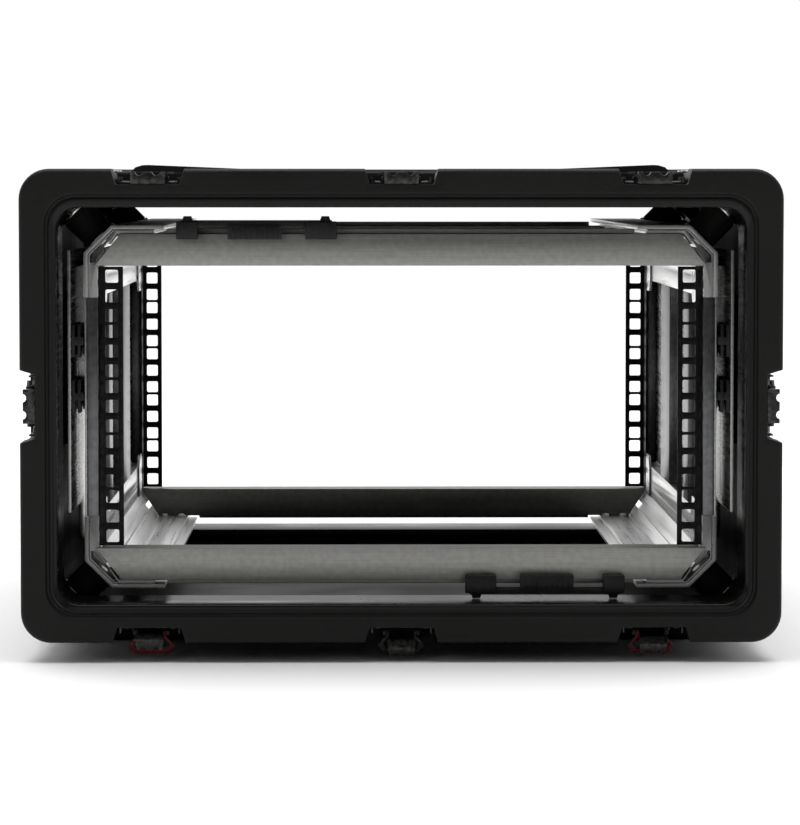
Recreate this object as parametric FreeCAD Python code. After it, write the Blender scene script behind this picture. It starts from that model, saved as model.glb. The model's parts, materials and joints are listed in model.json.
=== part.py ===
"""Shock-mounted 19-inch rack case, five units high, open at both ends.

Frame: X to the right, Y from the front opening to the rear one, Z up, in millimetres.
The origin is on the floor, midway between the sides and between the two ends.
"""
import FreeCAD, Part
import math
import os

os.makedirs("parts", exist_ok=True)
Vector = FreeCAD.Vector

# ---- overall sizes -------------------------------------------------------------------------
rim_width = 603.0            # outside of the rim, left to right
rim_height = 375.0           # outside of the rim, bottom to top
rim_radius = 24.0            # outside corners of the rim
rail_gap = 609.6             # front rack rail's face to rear rack rail's face
rim_ahead = 68.0             # rim's face ahead of the rack rail's face
foot_drop = 16.0             # feet below the rim
wall = 6.5                   # moulded wall

# ---- rack standard -------------------------------------------------------------------------
rack_units = 5
unit_height = 44.45
hole_offset = 15.875         # outer holes of one unit from its middle hole
hole_columns = 465.1         # between the two columns of holes
square_hole = 10.4
square_hole_radius = 1.5

# ---- rim, collar and body ------------------------------------------------------------------
body_inset = 3.0             # body inside the rim, each side
flange_depth = 40.0          # rim's band along Y
edge_radius = 4.0            # front edge of the rim
face_width = 20.3            # flat face of the rim
face_step = 3.0              # step from the face down to the lip
lip_side = 29.0              # rim's outside to the opening, left and right
lip_top = 30.5               # rim's outside to the opening, top and bottom
lip_radius = 18.0
collar_depth = 74.0          # rim's face to the collar's free edge
collar_wall = 6.0
face_wall = 8.0
inner_radius = 18.0
band_middle = 50.0           # raised band round the middle of the body
band_side = 36.0             # raised bands in front of and behind the handles
band_behind = 163.8          # handles' outer bands behind the rim's face
foot_length = 90.0
foot_width = 90.0
foot_x = 205.0
foot_behind = 197.8          # foot's middle behind the rim's face
foot_taper = 5.0
lug_outer = 219.0            # stacking lug on the roof: foot of its steep side
lug_peak = 205.0
lug_inner = 110.0
lug_rise = 6.4
lug_start = 85.0             # behind the rim's face
lug_length = 90.0

# ---- twist latches -------------------------------------------------------------------------
latch_spread = 200.0         # outer latches from the middle one
recess_floor = 25.0          # half width of the recess at its floor
recess_mouth = 29.0          # half width at its mouth
recess_depth = 12.5
recess_length = 70.0
spindle_y = 42.0             # twist axis behind the rim's face
dish_wall = 1.5
dish_half = 24.0
dish_front = 12.0
dish_back = 66.0
dish_lip = 4.5
rivet_x = 19.0
rivet_end = 5.0              # rivet from the dish's front or back edge
rivet_head = 3.0
rivet_shank = 2.0
hub_radius = 15.5
hub_thick = 3.2
spindle_radius = 4.0
spindle_foot = 6.0
foot_pocket = 3.0
slide_thick = 1.2
claw_half = 13.5
claw_travel = 8.0
claw_height = 9.7
claw_front = 2.0             # behind the rim's face
claw_block = 9.5
claw_pivot = 24.0
claw_droop = {"left": 25.0, "middle": 50.0, "right": 38.0}
bail_thick = 3.2
bail_bar = 4.0
bail_narrow = 12.0
bail_wide = 18.7
bail_reach = 16.0

# ---- carry handles -------------------------------------------------------------------------
handle_y = 110.0
handle_rise = 20.0           # above the rim's middle
pocket_half_length = 75.0
pocket_half_height = 55.0
pocket_depth = 16.0
plate_wall = 1.5
plate_margin = 3.0
hinge_rise = 34.0
grip_drop = 26.0
bail_out = 8.6               # bail's centre above the pocket's floor
bail_wire = 3.5
bail_leg = 47.0
grip_radius = 6.5
grip_half = 40.0
ear_near = 58.0
ear_far = 66.0
ear_half = 6.0
ear_height = 14.0
handle_screw_y = 64.0
handle_screw_up = 47.0
handle_screw_down = 44.0
screw_head = 4.0
screw_shank = 2.2
spring_wire = 0.8
spring_gap = 0.3             # hinge end to spring
spring_turns = 3
spring_pitch = 2.0

# ---- rack cage -----------------------------------------------------------------------------
cage_drop = 3.35             # cage's middle below the rim's middle
cage_front = 15.2            # cage's front face ahead of the rack rail's face
post_inner = 243.0           # inside faces of the side posts
leg_outer = 250.6            # outside of the corner rail's upright leg
leg_end = 88.0               # corner rail's upright leg starts here, from the middle
tray_z = 139.2               # inside of the corner rail's level leg
tray_wall = 3.0
tray_end = 198.0
bend_x = 227.3               # corner rail's inside bend
bend_z = 117.0
slot_width = 6.0
slot_depth = 3.6
bar_wall = 3.0
bar_edge = 113.5             # bar's inner edge, from the middle
bar_long = 245.7
bar_short = 224.4
tube_depth = 28.0
tube_wall = 2.5
tube_long = 241.5
tube_short = 226.0
bar_lip_top = 143.0
bar_lip_half = 188.0
bar_lip_back = 8.0
rail_face = 19.5             # rack rail's face, inner to outer edge
rail_wall = 2.0
rail_return = 30.0
rail_half = 112.5
panel_wall = 1.5
panel_outer = 253.9
end_post = 27.0
mid_posts = ((149.0, 46.0), (372.0, 96.0))   # behind the front rails, and width
gusset_behind = 56.8         # gusset's middle behind the rack rail's face
gusset_half = 20.0
gusset_low = 78.0
gusset_high = 116.0
gusset_cut = 12.0
tray_bolts = (204.0, 219.0)
tray_bolt_behind = 24.8      # behind the rack rail's face
bolt_head = 4.5
bolt_shank = 2.5
bolt_height = 3.0
fit = 0.05                   # radial clearance of a bolt, rivet or pin in its hole

# ---- cage locks ----------------------------------------------------------------------------
lock_outer = 171.0           # outer guide block's middle
lock_outer_width = 17.0
lock_inner = 64.0
lock_inner_width = 25.0
lock_pad = 117.0
lock_pad_width = 43.0
lock_low = 134.7
lock_high = 149.0
lock_depth = 11.0
lock_slot = 7.0
lock_slot_floor = 138.0
lock_bar_low = 144.5
lock_bar_high = 150.0
lock_bar_thick = 6.0
lock_pad_height = 11.0
lock_pin_top = 153.2
lock_pin_width = 9.0
lock_ribs = 9
lock_spring = 2.6
lock_spring_bore = 1.7

# ---- shock frame ---------------------------------------------------------------------------
glide_gap = 0.4              # cage to runner
runner_wall = 3.4
chamfer_leg = 22.0           # cut off the frame's corner, along each side
runner_tray_end = 190.0
side_inner = 264.0           # inside of the frame's side plates
side_wall = 2.5
side_low = 84.0
side_high = 126.0
side_ahead = 25.2            # side plate's end ahead of the rack rail's face
frame_post_behind = 74.8     # outer posts behind the rack rails
frame_post_middle = 75.0     # inner posts from the middle
frame_post_width = 34.0
frame_post_half = 112.0
glide_rises = (53.3, 8.8)
glide_height = 26.0
glide_ahead = 20.2           # glide's end ahead of the rack rail's face
glide_length = 76.0
glide_notch = 7.0
bracket_behind = 118.8       # bracket's middle behind the rim's face
bracket_length = 60.0
bracket_wall = 4.0
bracket_flange = 24.0        # flange beyond the slanted plate, along each wall
bracket_bolt = 13.0          # bolts beyond the slanted plate
bracket_bolt_y = 18.0
bracket_bolt_head = 5.0
bracket_bolt_shank = 3.0
outer_head = 7.0
outer_head_height = 2.0
isolator_length = 32.0       # with its two washers
isolator_radius = 14.0
washer_radius = 15.0
washer_wall = 3.0

# ---- worked out from the sizes above -------------------------------------------------------
half_depth = rail_gap / 2 + rim_ahead
rim_z = foot_drop + rim_height / 2
half_width = rim_width / 2
half_height = rim_height / 2
body_x = half_width - body_inset
body_z = half_height - body_inset
body_radius = rim_radius - body_inset
inner_x = body_x - wall
inner_z = body_z - wall
open_x = half_width - lip_side
open_z = half_height - lip_top
cage_z = rim_z - cage_drop
rail_y = rail_gap / 2
cage_y = rail_y + cage_front
frame_y = cage_y - bar_wall
leg_low = tray_z + tray_wall
runner_z = leg_low + glide_gap + runner_wall
runner_x = leg_outer + glide_gap + runner_wall + 0.1
root2 = math.sqrt(2.0)
chamfer_sum = runner_x + runner_z - chamfer_leg
band_place = half_depth - band_behind
spring_coil = bail_wire + spring_gap + spring_wire
foot_y = half_depth - foot_behind
bracket_y = half_depth - bracket_behind
gusset_y = rail_y - gusset_behind
tray_bolt_y = rail_y - tray_bolt_behind
side_half_length = rail_y + side_ahead
glide_end = rail_y + glide_ahead
glide_start = glide_end - glide_length
frame_post_outer = rail_y - frame_post_behind
frame_posts = (-frame_post_outer, -frame_post_middle, frame_post_middle, frame_post_outer)


# ---- helpers -------------------------------------------------------------------------------
def box(low, high):
    """Box between two corners."""
    size = [b - a for a, b in zip(low, high)]
    return Part.makeBox(size[0], size[1], size[2], Vector(*low))


def rod(start, direction, length, radius):
    """Round bar from a point along a direction."""
    return Part.makeCylinder(radius, length, Vector(*start), Vector(*direction))


def tube(start, direction, length, outer, bore):
    """Round bar with a round bore."""
    return rod(start, direction, length, outer).cut(rod(start, direction, length, bore))


def prism_y(outline, front, back):
    """Solid with an outline in X and Z, from front to back along Y."""
    points = [Vector(x, front, z) for x, z in outline]
    face = Part.Face(Part.makePolygon(points + points[:1]))
    return face.extrude(Vector(0, back - front, 0))


def prism_z(outline, low, high):
    """Solid with an outline in X and Y, from low to high."""
    points = [Vector(x, y, low) for x, y in outline]
    face = Part.Face(Part.makePolygon(points + points[:1]))
    return face.extrude(Vector(0, 0, high - low))


def edges_along(shape, axis):
    """Straight edges that run along an axis."""
    wanted = []
    for edge in shape.Edges:
        if edge.Curve.TypeId == "Part::GeomLine" and abs(edge.Curve.Direction.dot(axis)) > 0.999:
            wanted.append(edge)
    return wanted


def rounded_block(half_x, half_z, radius, front, back):
    """Block along Y about the rim's middle, with round corners."""
    block = box((-half_x, front, rim_z - half_z), (half_x, back, rim_z + half_z))
    return block.makeFillet(radius, edges_along(block, Vector(0, 1, 0)))


def mirrored(shape, axis):
    """Copy on the other side of the middle, across one axis."""
    return shape.mirror(Vector(0, 0, 0), axis)


def four_corners(shape):
    """A piece drawn at the upper right of the cage, at all four corners of its section."""
    low = shape.mirror(Vector(0, 0, cage_z), Vector(0, 0, 1))
    across = Vector(1, 0, 0)
    return {"top_right": shape, "top_left": mirrored(shape, across),
            "bottom_right": low, "bottom_left": mirrored(low, across)}


def both_ends(shape):
    """A piece at the front and its copy at the rear."""
    return [shape, mirrored(shape, Vector(0, 1, 0))]


def both_sides(shapes):
    """Pieces on the right and their copies on the left."""
    return list(shapes) + [mirrored(shape, Vector(1, 0, 0)) for shape in shapes]


def union(shapes):
    """One solid from several that meet."""
    joined = shapes[0]
    for shape in shapes[1:]:
        joined = joined.fuse(shape)
    return joined.removeSplitter()


def save(name, shapes):
    """Write one node's solids to its STEP file."""
    solids = []
    for shape in shapes:
        solids.extend(shape.Solids)
    whole = solids[0] if len(solids) == 1 else Part.makeCompound(solids)
    whole.exportStep(os.path.join("parts", name + ".step"))


# ---- latch seats ---------------------------------------------------------------------------
# A latch is drawn with X across it, Y into the case from the rim's face, and Z out of the case
# from the rim's outside. A seat gives the turn about Y, the place across and the reach.
def latch_seats():
    seats = {}
    for label, across in (("left", -latch_spread), ("middle", 0.0), ("right", latch_spread)):
        seats["top_" + label] = (0.0, across, half_height)
        seats["bottom_" + label] = (180.0, -across, half_height)
    seats["side_right"] = (90.0, 0.0, half_width)
    seats["side_left"] = (-90.0, 0.0, half_width)
    return seats


def swap_side(name):
    """Left and right change places when the front is turned round to the rear."""
    pairs = {"left": "right", "right": "left"}
    place, side = name.split("_")
    return place + "_" + pairs.get(side, side)


def seated(shape, seat, end):
    """Move a piece of a latch to its seat on one end of the case."""
    turn, across, reach = seat
    moved = shape.copy()
    moved.translate(Vector(across, -half_depth, reach))
    moved.rotate(Vector(0, 0, 0), Vector(0, 1, 0), turn)
    moved.translate(Vector(0, 0, rim_z))
    if end == "rear":
        moved.rotate(Vector(0, 0, 0), Vector(0, 0, 1), 180.0)
    return moved


def all_seats():
    """Every latch: its name, seat and end."""
    listed = []
    for name, seat in latch_seats().items():
        listed.append(("front_" + name, name, seat, "front"))
    for name, seat in latch_seats().items():
        listed.append(("rear_" + swap_side(name), name, seat, "rear"))
    return listed


floor_v = -recess_depth
dish_top = floor_v + dish_wall
slide_low = dish_top + 0.3
slide_top = slide_low + slide_thick
hub_low = slide_top + 0.3
hub_top = hub_low + hub_thick
pin_v = hub_top + 0.4 + bail_thick / 2
pin_y = spindle_y - 6.0
rivet_rows = (dish_front + rivet_end, dish_back - rivet_end)


def latch_recess():
    outline = [(-recess_floor, floor_v), (recess_floor, floor_v),
               (recess_mouth, 1.0), (-recess_mouth, 1.0)]
    recess = prism_y(outline, -1.0, recess_length)
    return recess.fuse(rod((0, spindle_y, floor_v - foot_pocket), (0, 0, 1), foot_pocket + 1.0,
                           spindle_foot + 1.0))


def latch_backing():
    """Wall left under and around a recess."""
    return box((-recess_mouth - wall, 0.0, floor_v - wall),
               (recess_mouth + wall, recess_length + wall, 0.0))


def rivet_places():
    return [(x, y) for x in (-rivet_x, rivet_x) for y in rivet_rows]


def latch_dish():
    """Pressed tray on the floor of a recess."""
    tray = box((-dish_half, dish_front, floor_v), (dish_half, dish_back, dish_top))
    for side in (-1.0, 1.0):
        near = min(side * dish_half, side * (dish_half - 1.2))
        lip = box((near, dish_front, dish_top), (near + 1.2, dish_back, dish_top + dish_lip))
        tray = tray.fuse(lip)
    tray = tray.cut(rod((0, spindle_y, floor_v - 1), (0, 0, 1), 4.0, spindle_radius + fit))
    for x, y in rivet_places():
        tray = tray.cut(rod((x, y, floor_v - 1), (0, 0, 1), 4.0, rivet_shank + fit))
    return tray.removeSplitter()


def latch_rivet(x, y):
    head = rod((x, y, dish_top), (0, 0, 1), 1.5, rivet_head)
    shank = rod((x, y, floor_v - wall), (0, 0, 1), wall + dish_wall, rivet_shank)
    tail = rod((x, y, floor_v - wall - 1.5), (0, 0, 1), 1.5, rivet_head)
    return union([head, shank, tail])


def bail_loop():
    """Ear-shaped loop lying back over the hub, with its hinge pin."""
    back = pin_y + bail_reach
    front = pin_y - bail_bar / 2
    low = pin_v - bail_thick / 2
    high = pin_v + bail_thick / 2
    flare = front + bail_bar + 0.8
    outer = [(-bail_narrow, front), (bail_narrow, front), (bail_narrow, flare),
             (bail_wide, back - 6.0), (bail_wide - 5.0, back),
             (-bail_wide + 5.0, back), (-bail_wide, back - 6.0), (-bail_narrow, flare)]
    inset = bail_bar - 0.6
    inner = [(-bail_narrow + inset, front + bail_bar), (bail_narrow - inset, front + bail_bar),
             (bail_wide - inset, back - 7.0), (bail_wide - inset - 3.0, back - inset),
             (-bail_wide + inset + 3.0, back - inset), (-bail_wide + inset, back - 7.0)]
    loop = prism_z(outer, low, high).cut(prism_z(inner, low - 1, high + 1))
    return union([loop, rod((-bail_narrow - 2.4, pin_y, pin_v), (1, 0, 0),
                            2 * bail_narrow + 4.8, 1.2)])


def latch_handle(hangs):
    """Hub with its spindle, and the bail folded down or hanging straight out."""
    hub = rod((0, spindle_y, hub_low), (0, 0, 1), hub_thick, hub_radius)
    spindle = rod((0, spindle_y, floor_v - 2.3), (0, 0, 1), hub_low - floor_v + 2.3, spindle_radius)
    staked = rod((0, spindle_y, floor_v - 2.3), (0, 0, 1), 2.0, spindle_foot)
    pieces = [hub, spindle, staked]
    for side in (-1.0, 1.0):
        near = min(side * (bail_narrow + 0.4), side * (bail_narrow + 2.4))
        ear = box((near, pin_y - 2.0, hub_top), (near + 2.0, pin_y + 2.0, pin_v + bail_thick / 2))
        pieces.append(ear)
    hub = union(pieces)
    hub = hub.cut(rod((-30, pin_y, pin_v), (1, 0, 0), 60.0, 1.2 + fit))
    bail = bail_loop()
    if hangs:
        bail.rotate(Vector(0, pin_y, pin_v), Vector(1, 0, 0), 90.0)
    return [hub, bail]


def latch_claw(droop):
    """Sliding plate under the hub with the hook at its front end."""
    slide = box((-claw_half + 1.5, claw_pivot, slide_low), (claw_half - 1.5, spindle_y + 16, slide_top))
    slot_half = spindle_radius + 0.35
    slot = box((-slot_half, spindle_y - slot_half, slide_low - 1),
               (slot_half, spindle_y + claw_travel + slot_half, slide_top + 1))
    slide = slide.cut(slot)
    arm = box((-claw_half + 2.0, claw_front + claw_block, slide_low),
              (claw_half - 2.0, claw_pivot, slide_low + 3.6))
    base = floor_v + 0.3
    block = box((-claw_half, claw_front, base), (claw_half, claw_front + claw_block, base + claw_height))
    for x in (-claw_half / 2, claw_half / 2):
        block = block.cut(rod((x, claw_front - 1, base + claw_height + 0.6), (0, 1, 0), 20.0, 3.4))
    hook = block.fuse(arm)
    pivot = Vector(0, claw_pivot, slide_low + 1.85)
    hook.rotate(pivot, Vector(1, 0, 0), -droop)
    knuckle = rod((-claw_half + 2.0, claw_pivot, slide_low + 1.85), (1, 0, 0),
                  2 * claw_half - 4.0, 1.85)
    return union([slide, knuckle, hook])


# ---- case ----------------------------------------------------------------------------------
pocket_floor = body_x - pocket_depth
handle_z = rim_z + handle_rise


def handle_pocket(grow):
    """Space of one handle's pocket at the right front, grown by a wall where wanted."""
    return box((pocket_floor - grow, -handle_y - pocket_half_length - grow,
                handle_z - pocket_half_height - grow),
               (half_width + 10.0, -handle_y + pocket_half_length + grow,
                handle_z + pocket_half_height + grow))


def foot():
    """Moulded foot at the right front, narrower where it stands."""
    top = rim_z - body_z + 2.0
    foot_block = box((foot_x - foot_width / 2, -foot_y - foot_length / 2, 0.0),
                     (foot_x + foot_width / 2, -foot_y + foot_length / 2, top))
    lowest = [e for e in foot_block.Edges if e.BoundBox.ZMax < 0.01]
    return foot_block.makeChamfer(foot_taper, lowest)


def stacking_lug():
    """Sloping lug on the roof at the right front."""
    roof = rim_z + body_z
    outline = [(lug_outer, roof - 2.0), (lug_outer, roof), (lug_peak, roof + lug_rise),
               (lug_inner + 10.0, roof + body_inset), (lug_inner, roof), (lug_inner, roof - 2.0)]
    front = -half_depth + lug_start
    return prism_y(outline, front, front + lug_length)


def slant_start(level):
    """Shell's inner corner to where a bracket's slanted plate meets a wall; level is 1 at the top."""
    inward = inner_x - runner_x + chamfer_leg / 2
    upward = inner_z - runner_z + chamfer_leg / 2 + level * cage_drop
    return inward + upward - (isolator_length + bracket_wall) * root2


def bracket_bolt_seats(level):
    """Bolts of a right front bracket, drawn at the top: point on its face, direction outwards."""
    seats = []
    place = slant_start(level) + bracket_bolt
    for y in (-bracket_y - bracket_bolt_y, -bracket_y + bracket_bolt_y):
        seats.append(((inner_x - bracket_wall, y, rim_z + inner_z - place), (1, 0, 0)))
        seats.append(((inner_x - place, y, rim_z + inner_z - bracket_wall), (0, 0, 1)))
    return seats


def at_four_corners(level, shape):
    """A piece drawn at the right front top corner of the case, at all its top or bottom corners."""
    if level < 0:
        shape = shape.mirror(Vector(0, 0, rim_z), Vector(0, 0, 1))
    copies = []
    for piece in both_sides([shape]):
        copies.extend(both_ends(piece))
    return copies


def handle_screw_places():
    return [(y, z) for y in (-handle_screw_y, handle_screw_y)
            for z in (handle_screw_up, -handle_screw_down)]


def at_four_handles(shapes):
    """Pieces drawn at the right front handle, at all four."""
    copies = []
    for shape in both_sides(shapes):
        copies.extend(both_ends(shape))
    return copies


def case_shell():
    body = rounded_block(body_x, body_z, body_radius, -half_depth + 5.0, half_depth - 5.0)
    rim = rounded_block(half_width, half_height, rim_radius, -half_depth, -half_depth + flange_depth)
    front_edges = [e for e in rim.Edges if e.BoundBox.YMax < -half_depth + 0.01]
    rim = rim.makeFillet(edge_radius, front_edges)
    shell = body
    for end in both_ends(rim):
        shell = shell.fuse(end)
    for middle, width in ((0.0, band_middle), (-band_place, band_side), (band_place, band_side)):
        band = rounded_block(half_width, half_height, rim_radius, middle - width / 2,
                             middle + width / 2)
        shell = shell.fuse(band)
    for moulding in both_sides([foot(), stacking_lug()]):
        for end in both_ends(moulding):
            shell = shell.fuse(end)

    hollow = rounded_block(inner_x, inner_z, inner_radius, -half_depth + face_wall,
                           half_depth - face_wall)
    collar = rounded_block(open_x + collar_wall, open_z + collar_wall, lip_radius + collar_wall,
                           -half_depth, -half_depth + collar_depth)
    for end in both_ends(collar):
        hollow = hollow.cut(end)
    for name, label, seat, end in all_seats():
        hollow = hollow.cut(seated(latch_backing(), seat, end))
    for pocket in at_four_handles([handle_pocket(wall)]):
        hollow = hollow.cut(pocket)
    shell = shell.cut(hollow)

    shell = shell.cut(rounded_block(open_x, open_z, lip_radius, -half_depth - 1, half_depth + 1))
    step = rounded_block(half_width - face_width, half_height - face_width, rim_radius,
                         -half_depth - 1, -half_depth + face_step)
    for end in both_ends(step):
        shell = shell.cut(end)
    for name, label, seat, end in all_seats():
        shell = shell.cut(seated(latch_recess(), seat, end))
        for x, y in rivet_places():
            hole = rod((x, y, floor_v - wall - 1), (0, 0, 1), wall + 3.0, rivet_shank + fit)
            shell = shell.cut(seated(hole, seat, end))
    for pocket in at_four_handles([handle_pocket(0.0)]):
        shell = shell.cut(pocket)
    for y, z in handle_screw_places():
        hole = rod((pocket_floor - wall - 1, y - handle_y, z + handle_z), (1, 0, 0), wall + 3.0,
                   screw_shank + fit)
        for copy in at_four_handles([hole]):
            shell = shell.cut(copy)
    for level in (1.0, -1.0):
        for point, direction in bracket_bolt_seats(level):
            hole = rod(point, direction, 30.0, bracket_bolt_shank + fit)
            for copy in at_four_corners(level, hole):
                shell = shell.cut(copy)
    return shell.removeSplitter()


save("case_shell", [case_shell()])

# ---- latches -------------------------------------------------------------------------------
dishes = []
rivets = []
rear_claws = []
for full_name, label, seat, end in all_seats():
    low_side = label.startswith("bottom")
    droop = claw_droop[label.split("_")[1]] if low_side else 0.0
    dishes.append(seated(latch_dish(), seat, end))
    rivets.extend(seated(latch_rivet(x, y), seat, end) for x, y in rivet_places())
    save("latch_handle_" + full_name, [seated(s, seat, end) for s in latch_handle(low_side)])
    claw = seated(latch_claw(droop), seat, end)
    if end == "front":
        save("latch_claw_" + full_name, [claw])
    else:
        rear_claws.append(claw)
save("latch_dishes", dishes)
save("latch_rivets", rivets)
save("latch_claws_rear", rear_claws)

# ---- carry handles -------------------------------------------------------------------------
hinge_x = pocket_floor + bail_out
hinge_z = handle_z + hinge_rise
grip_z = handle_z - grip_drop


def handle_plate():
    """Plate on the pocket's floor with the two hinge ears."""
    half_y = pocket_half_length - plate_margin
    half_z = pocket_half_height - plate_margin
    plate = box((pocket_floor, -handle_y - half_y, handle_z - half_z),
                (pocket_floor + plate_wall, -handle_y + half_y, handle_z + half_z))
    for side in (-1.0, 1.0):
        near = -handle_y + min(side * ear_near, side * ear_far)
        ear = box((pocket_floor, near, hinge_z - ear_half),
                  (pocket_floor + ear_height, near + ear_far - ear_near, hinge_z + ear_half))
        plate = plate.fuse(ear)
    bore = rod((hinge_x, -handle_y - 100, hinge_z), (0, 1, 0), 200.0, bail_wire + fit)
    plate = plate.cut(bore)
    for y, z in handle_screw_places():
        plate = plate.cut(rod((pocket_floor - 1, y - handle_y, z + handle_z), (1, 0, 0), 5.0,
                              screw_shank + fit))
    return plate.removeSplitter()


def handle_screw(y, z):
    start = pocket_floor + plate_wall
    head = rod((start, y - handle_y, z + handle_z), (1, 0, 0), 2.6, screw_head)
    length = wall + plate_wall + 2.0
    shank = rod((start - length, y - handle_y, z + handle_z), (1, 0, 0), length, screw_shank)
    nut = rod((pocket_floor - wall - 3.0, y - handle_y, z + handle_z), (1, 0, 0), 3.0,
              screw_head + 0.5)
    return union([head, shank, nut])


def handle_bail():
    """Wire bail: two legs, the bar under the grip and the two hinge ends."""
    pieces = [rod((hinge_x, -handle_y - bail_leg, grip_z), (0, 1, 0), 2 * bail_leg, bail_wire)]
    for side in (-1.0, 1.0):
        y = -handle_y + side * bail_leg
        pieces.append(rod((hinge_x, y, grip_z), (0, 0, 1), hinge_z - grip_z, bail_wire))
        pieces.append(rod((hinge_x, y, hinge_z), (0, side, 0), ear_far - bail_leg + 1.0, bail_wire))
        for z in (grip_z, hinge_z):
            pieces.append(Part.makeSphere(bail_wire, Vector(hinge_x, y, z)))
    return union(pieces)


def handle_grip():
    return tube((hinge_x, -handle_y - grip_half, grip_z), (0, 1, 0), 2 * grip_half, grip_radius,
                bail_wire + fit)


def handle_spring_rings():
    """Turns of the return springs beside the hinge ears."""
    rings = []
    for side in (-1.0, 1.0):
        for turn in range(spring_turns):
            offset = ear_near - spring_wire - 0.05 - turn * spring_pitch
            rings.append(Part.makeTorus(spring_coil, spring_wire,
                                        Vector(hinge_x, -handle_y + side * offset, hinge_z),
                                        Vector(0, 1, 0)))
    return rings


save("handle_plates", at_four_handles([handle_plate()]))
save("handle_screws", at_four_handles([handle_screw(y, z) for y, z in handle_screw_places()]))
save("handle_springs", at_four_handles(handle_spring_rings()))
corner_names = ("right_front", "right_rear", "left_front", "left_rear")
for name, bail, grip in zip(corner_names, at_four_handles([handle_bail()]),
                            at_four_handles([handle_grip()])):
    save("carry_handle_" + name, [bail, grip])


# ---- shock mounts --------------------------------------------------------------------------
def shock_bracket(level):
    """Slanted plate across the shell's inner corner, with a flange on each wall."""
    turn = bracket_wall * (root2 - 1.0)
    start = slant_start(level)
    reach = start + bracket_flange
    thick = bracket_wall
    section = [(0, reach), (0, start), (start, 0), (reach, 0), (reach, thick),
               (start + turn, thick), (thick, start + turn), (thick, reach)]
    outline = [(inner_x - p, rim_z + inner_z - q) for p, q in section]
    bracket = prism_y(outline, -bracket_y - bracket_length / 2, -bracket_y + bracket_length / 2)
    for point, direction in bracket_bolt_seats(level):
        back = [c - 2.0 * d for c, d in zip(point, direction)]
        bracket = bracket.cut(rod(back, direction, 10.0, bracket_bolt_shank + fit))
    return bracket


def bracket_bolt_piece(point, direction):
    """Bolt from inside the bracket through the wall, with a round head outside the case."""
    length = bracket_wall + wall
    inner_start = [c - bolt_height * d for c, d in zip(point, direction)]
    outside = [c + length * d for c, d in zip(point, direction)]
    return union([rod(inner_start, direction, bolt_height, bracket_bolt_head),
                  rod(point, direction, length, bracket_bolt_shank),
                  rod(outside, direction, outer_head_height, outer_head)])


def isolator_stack(level):
    """Rubber mount with its two washers, from the runner's slant to the bracket's plate."""
    start = Vector(runner_x - chamfer_leg / 2, -bracket_y,
                   rim_z - level * cage_drop + runner_z - chamfer_leg / 2)
    slant = Vector(1, 0, 1) * (1.0 / root2)
    pieces = []
    for offset, length, radius in ((0.0, washer_wall, washer_radius),
                                   (washer_wall, isolator_length - 2 * washer_wall, isolator_radius),
                                   (isolator_length - washer_wall, washer_wall, washer_radius)):
        pieces.append(Part.makeCylinder(radius, length, start + slant * offset, slant))
    return pieces


brackets = []
mount_hardware = []
isolators = []
for level in (1.0, -1.0):
    brackets.extend(at_four_corners(level, shock_bracket(level)))
    for point, direction in bracket_bolt_seats(level):
        mount_hardware.extend(at_four_corners(level, bracket_bolt_piece(point, direction)))
    near, rubber, far = isolator_stack(level)
    isolators.extend(at_four_corners(level, rubber))
    for washer in (near, far):
        mount_hardware.extend(at_four_corners(level, washer))
save("shock_brackets", brackets)
save("mount_hardware", mount_hardware)
save("shock_isolators", isolators)


# ---- shock frame ---------------------------------------------------------------------------
def runner():
    """Bent strip round a corner of the cage, along the whole frame."""
    inner = chamfer_sum - runner_wall * root2
    outline = [(runner_tray_end, runner_z), (chamfer_sum - runner_z, runner_z),
               (runner_x, chamfer_sum - runner_x), (runner_x, leg_end),
               (runner_x - runner_wall, leg_end),
               (runner_x - runner_wall, inner - runner_x + runner_wall),
               (inner - runner_z + runner_wall, runner_z - runner_wall),
               (runner_tray_end, runner_z - runner_wall)]
    return prism_y([(x, z + cage_z) for x, z in outline], -frame_y, frame_y)


def frame_side():
    """Side plate of the shock frame, right."""
    return box((side_inner, -side_half_length, cage_z - side_low),
               (side_inner + side_wall, side_half_length, cage_z + side_high))


def frame_post(y):
    return box((runner_x, y - frame_post_width / 2, cage_z - frame_post_half),
               (side_inner, y + frame_post_width / 2, cage_z + frame_post_half))


def glide_block(rise):
    """Glide between the side plate and the cage, waisted in the middle."""
    low = cage_z + rise - glide_height / 2
    high = low + glide_height
    near = panel_outer + 0.5
    block = box((near, -glide_end, low), (side_inner, -glide_start, high))
    middle = (glide_start + glide_end) / 2
    quarter = (glide_end - glide_start) / 4
    for base in (low - 1.0, high - glide_notch):
        notch = box((near - 1, -middle - quarter, base),
                    (side_inner + 1, -middle + quarter, base + glide_notch + 1.0))
        block = block.cut(notch)
    return block


save("runners", four_corners(runner()).values())
save("frame_sides", both_sides([frame_side()]))
save("frame_posts", both_sides([frame_post(y) for y in frame_posts]))
save("glide_blocks", at_four_handles([glide_block(rise) for rise in glide_rises]))


# ---- rack cage -----------------------------------------------------------------------------
def tray_bolt_places():
    return [(x, y) for x in tray_bolts for y in (-tray_bolt_y, tray_bolt_y)]


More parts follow.
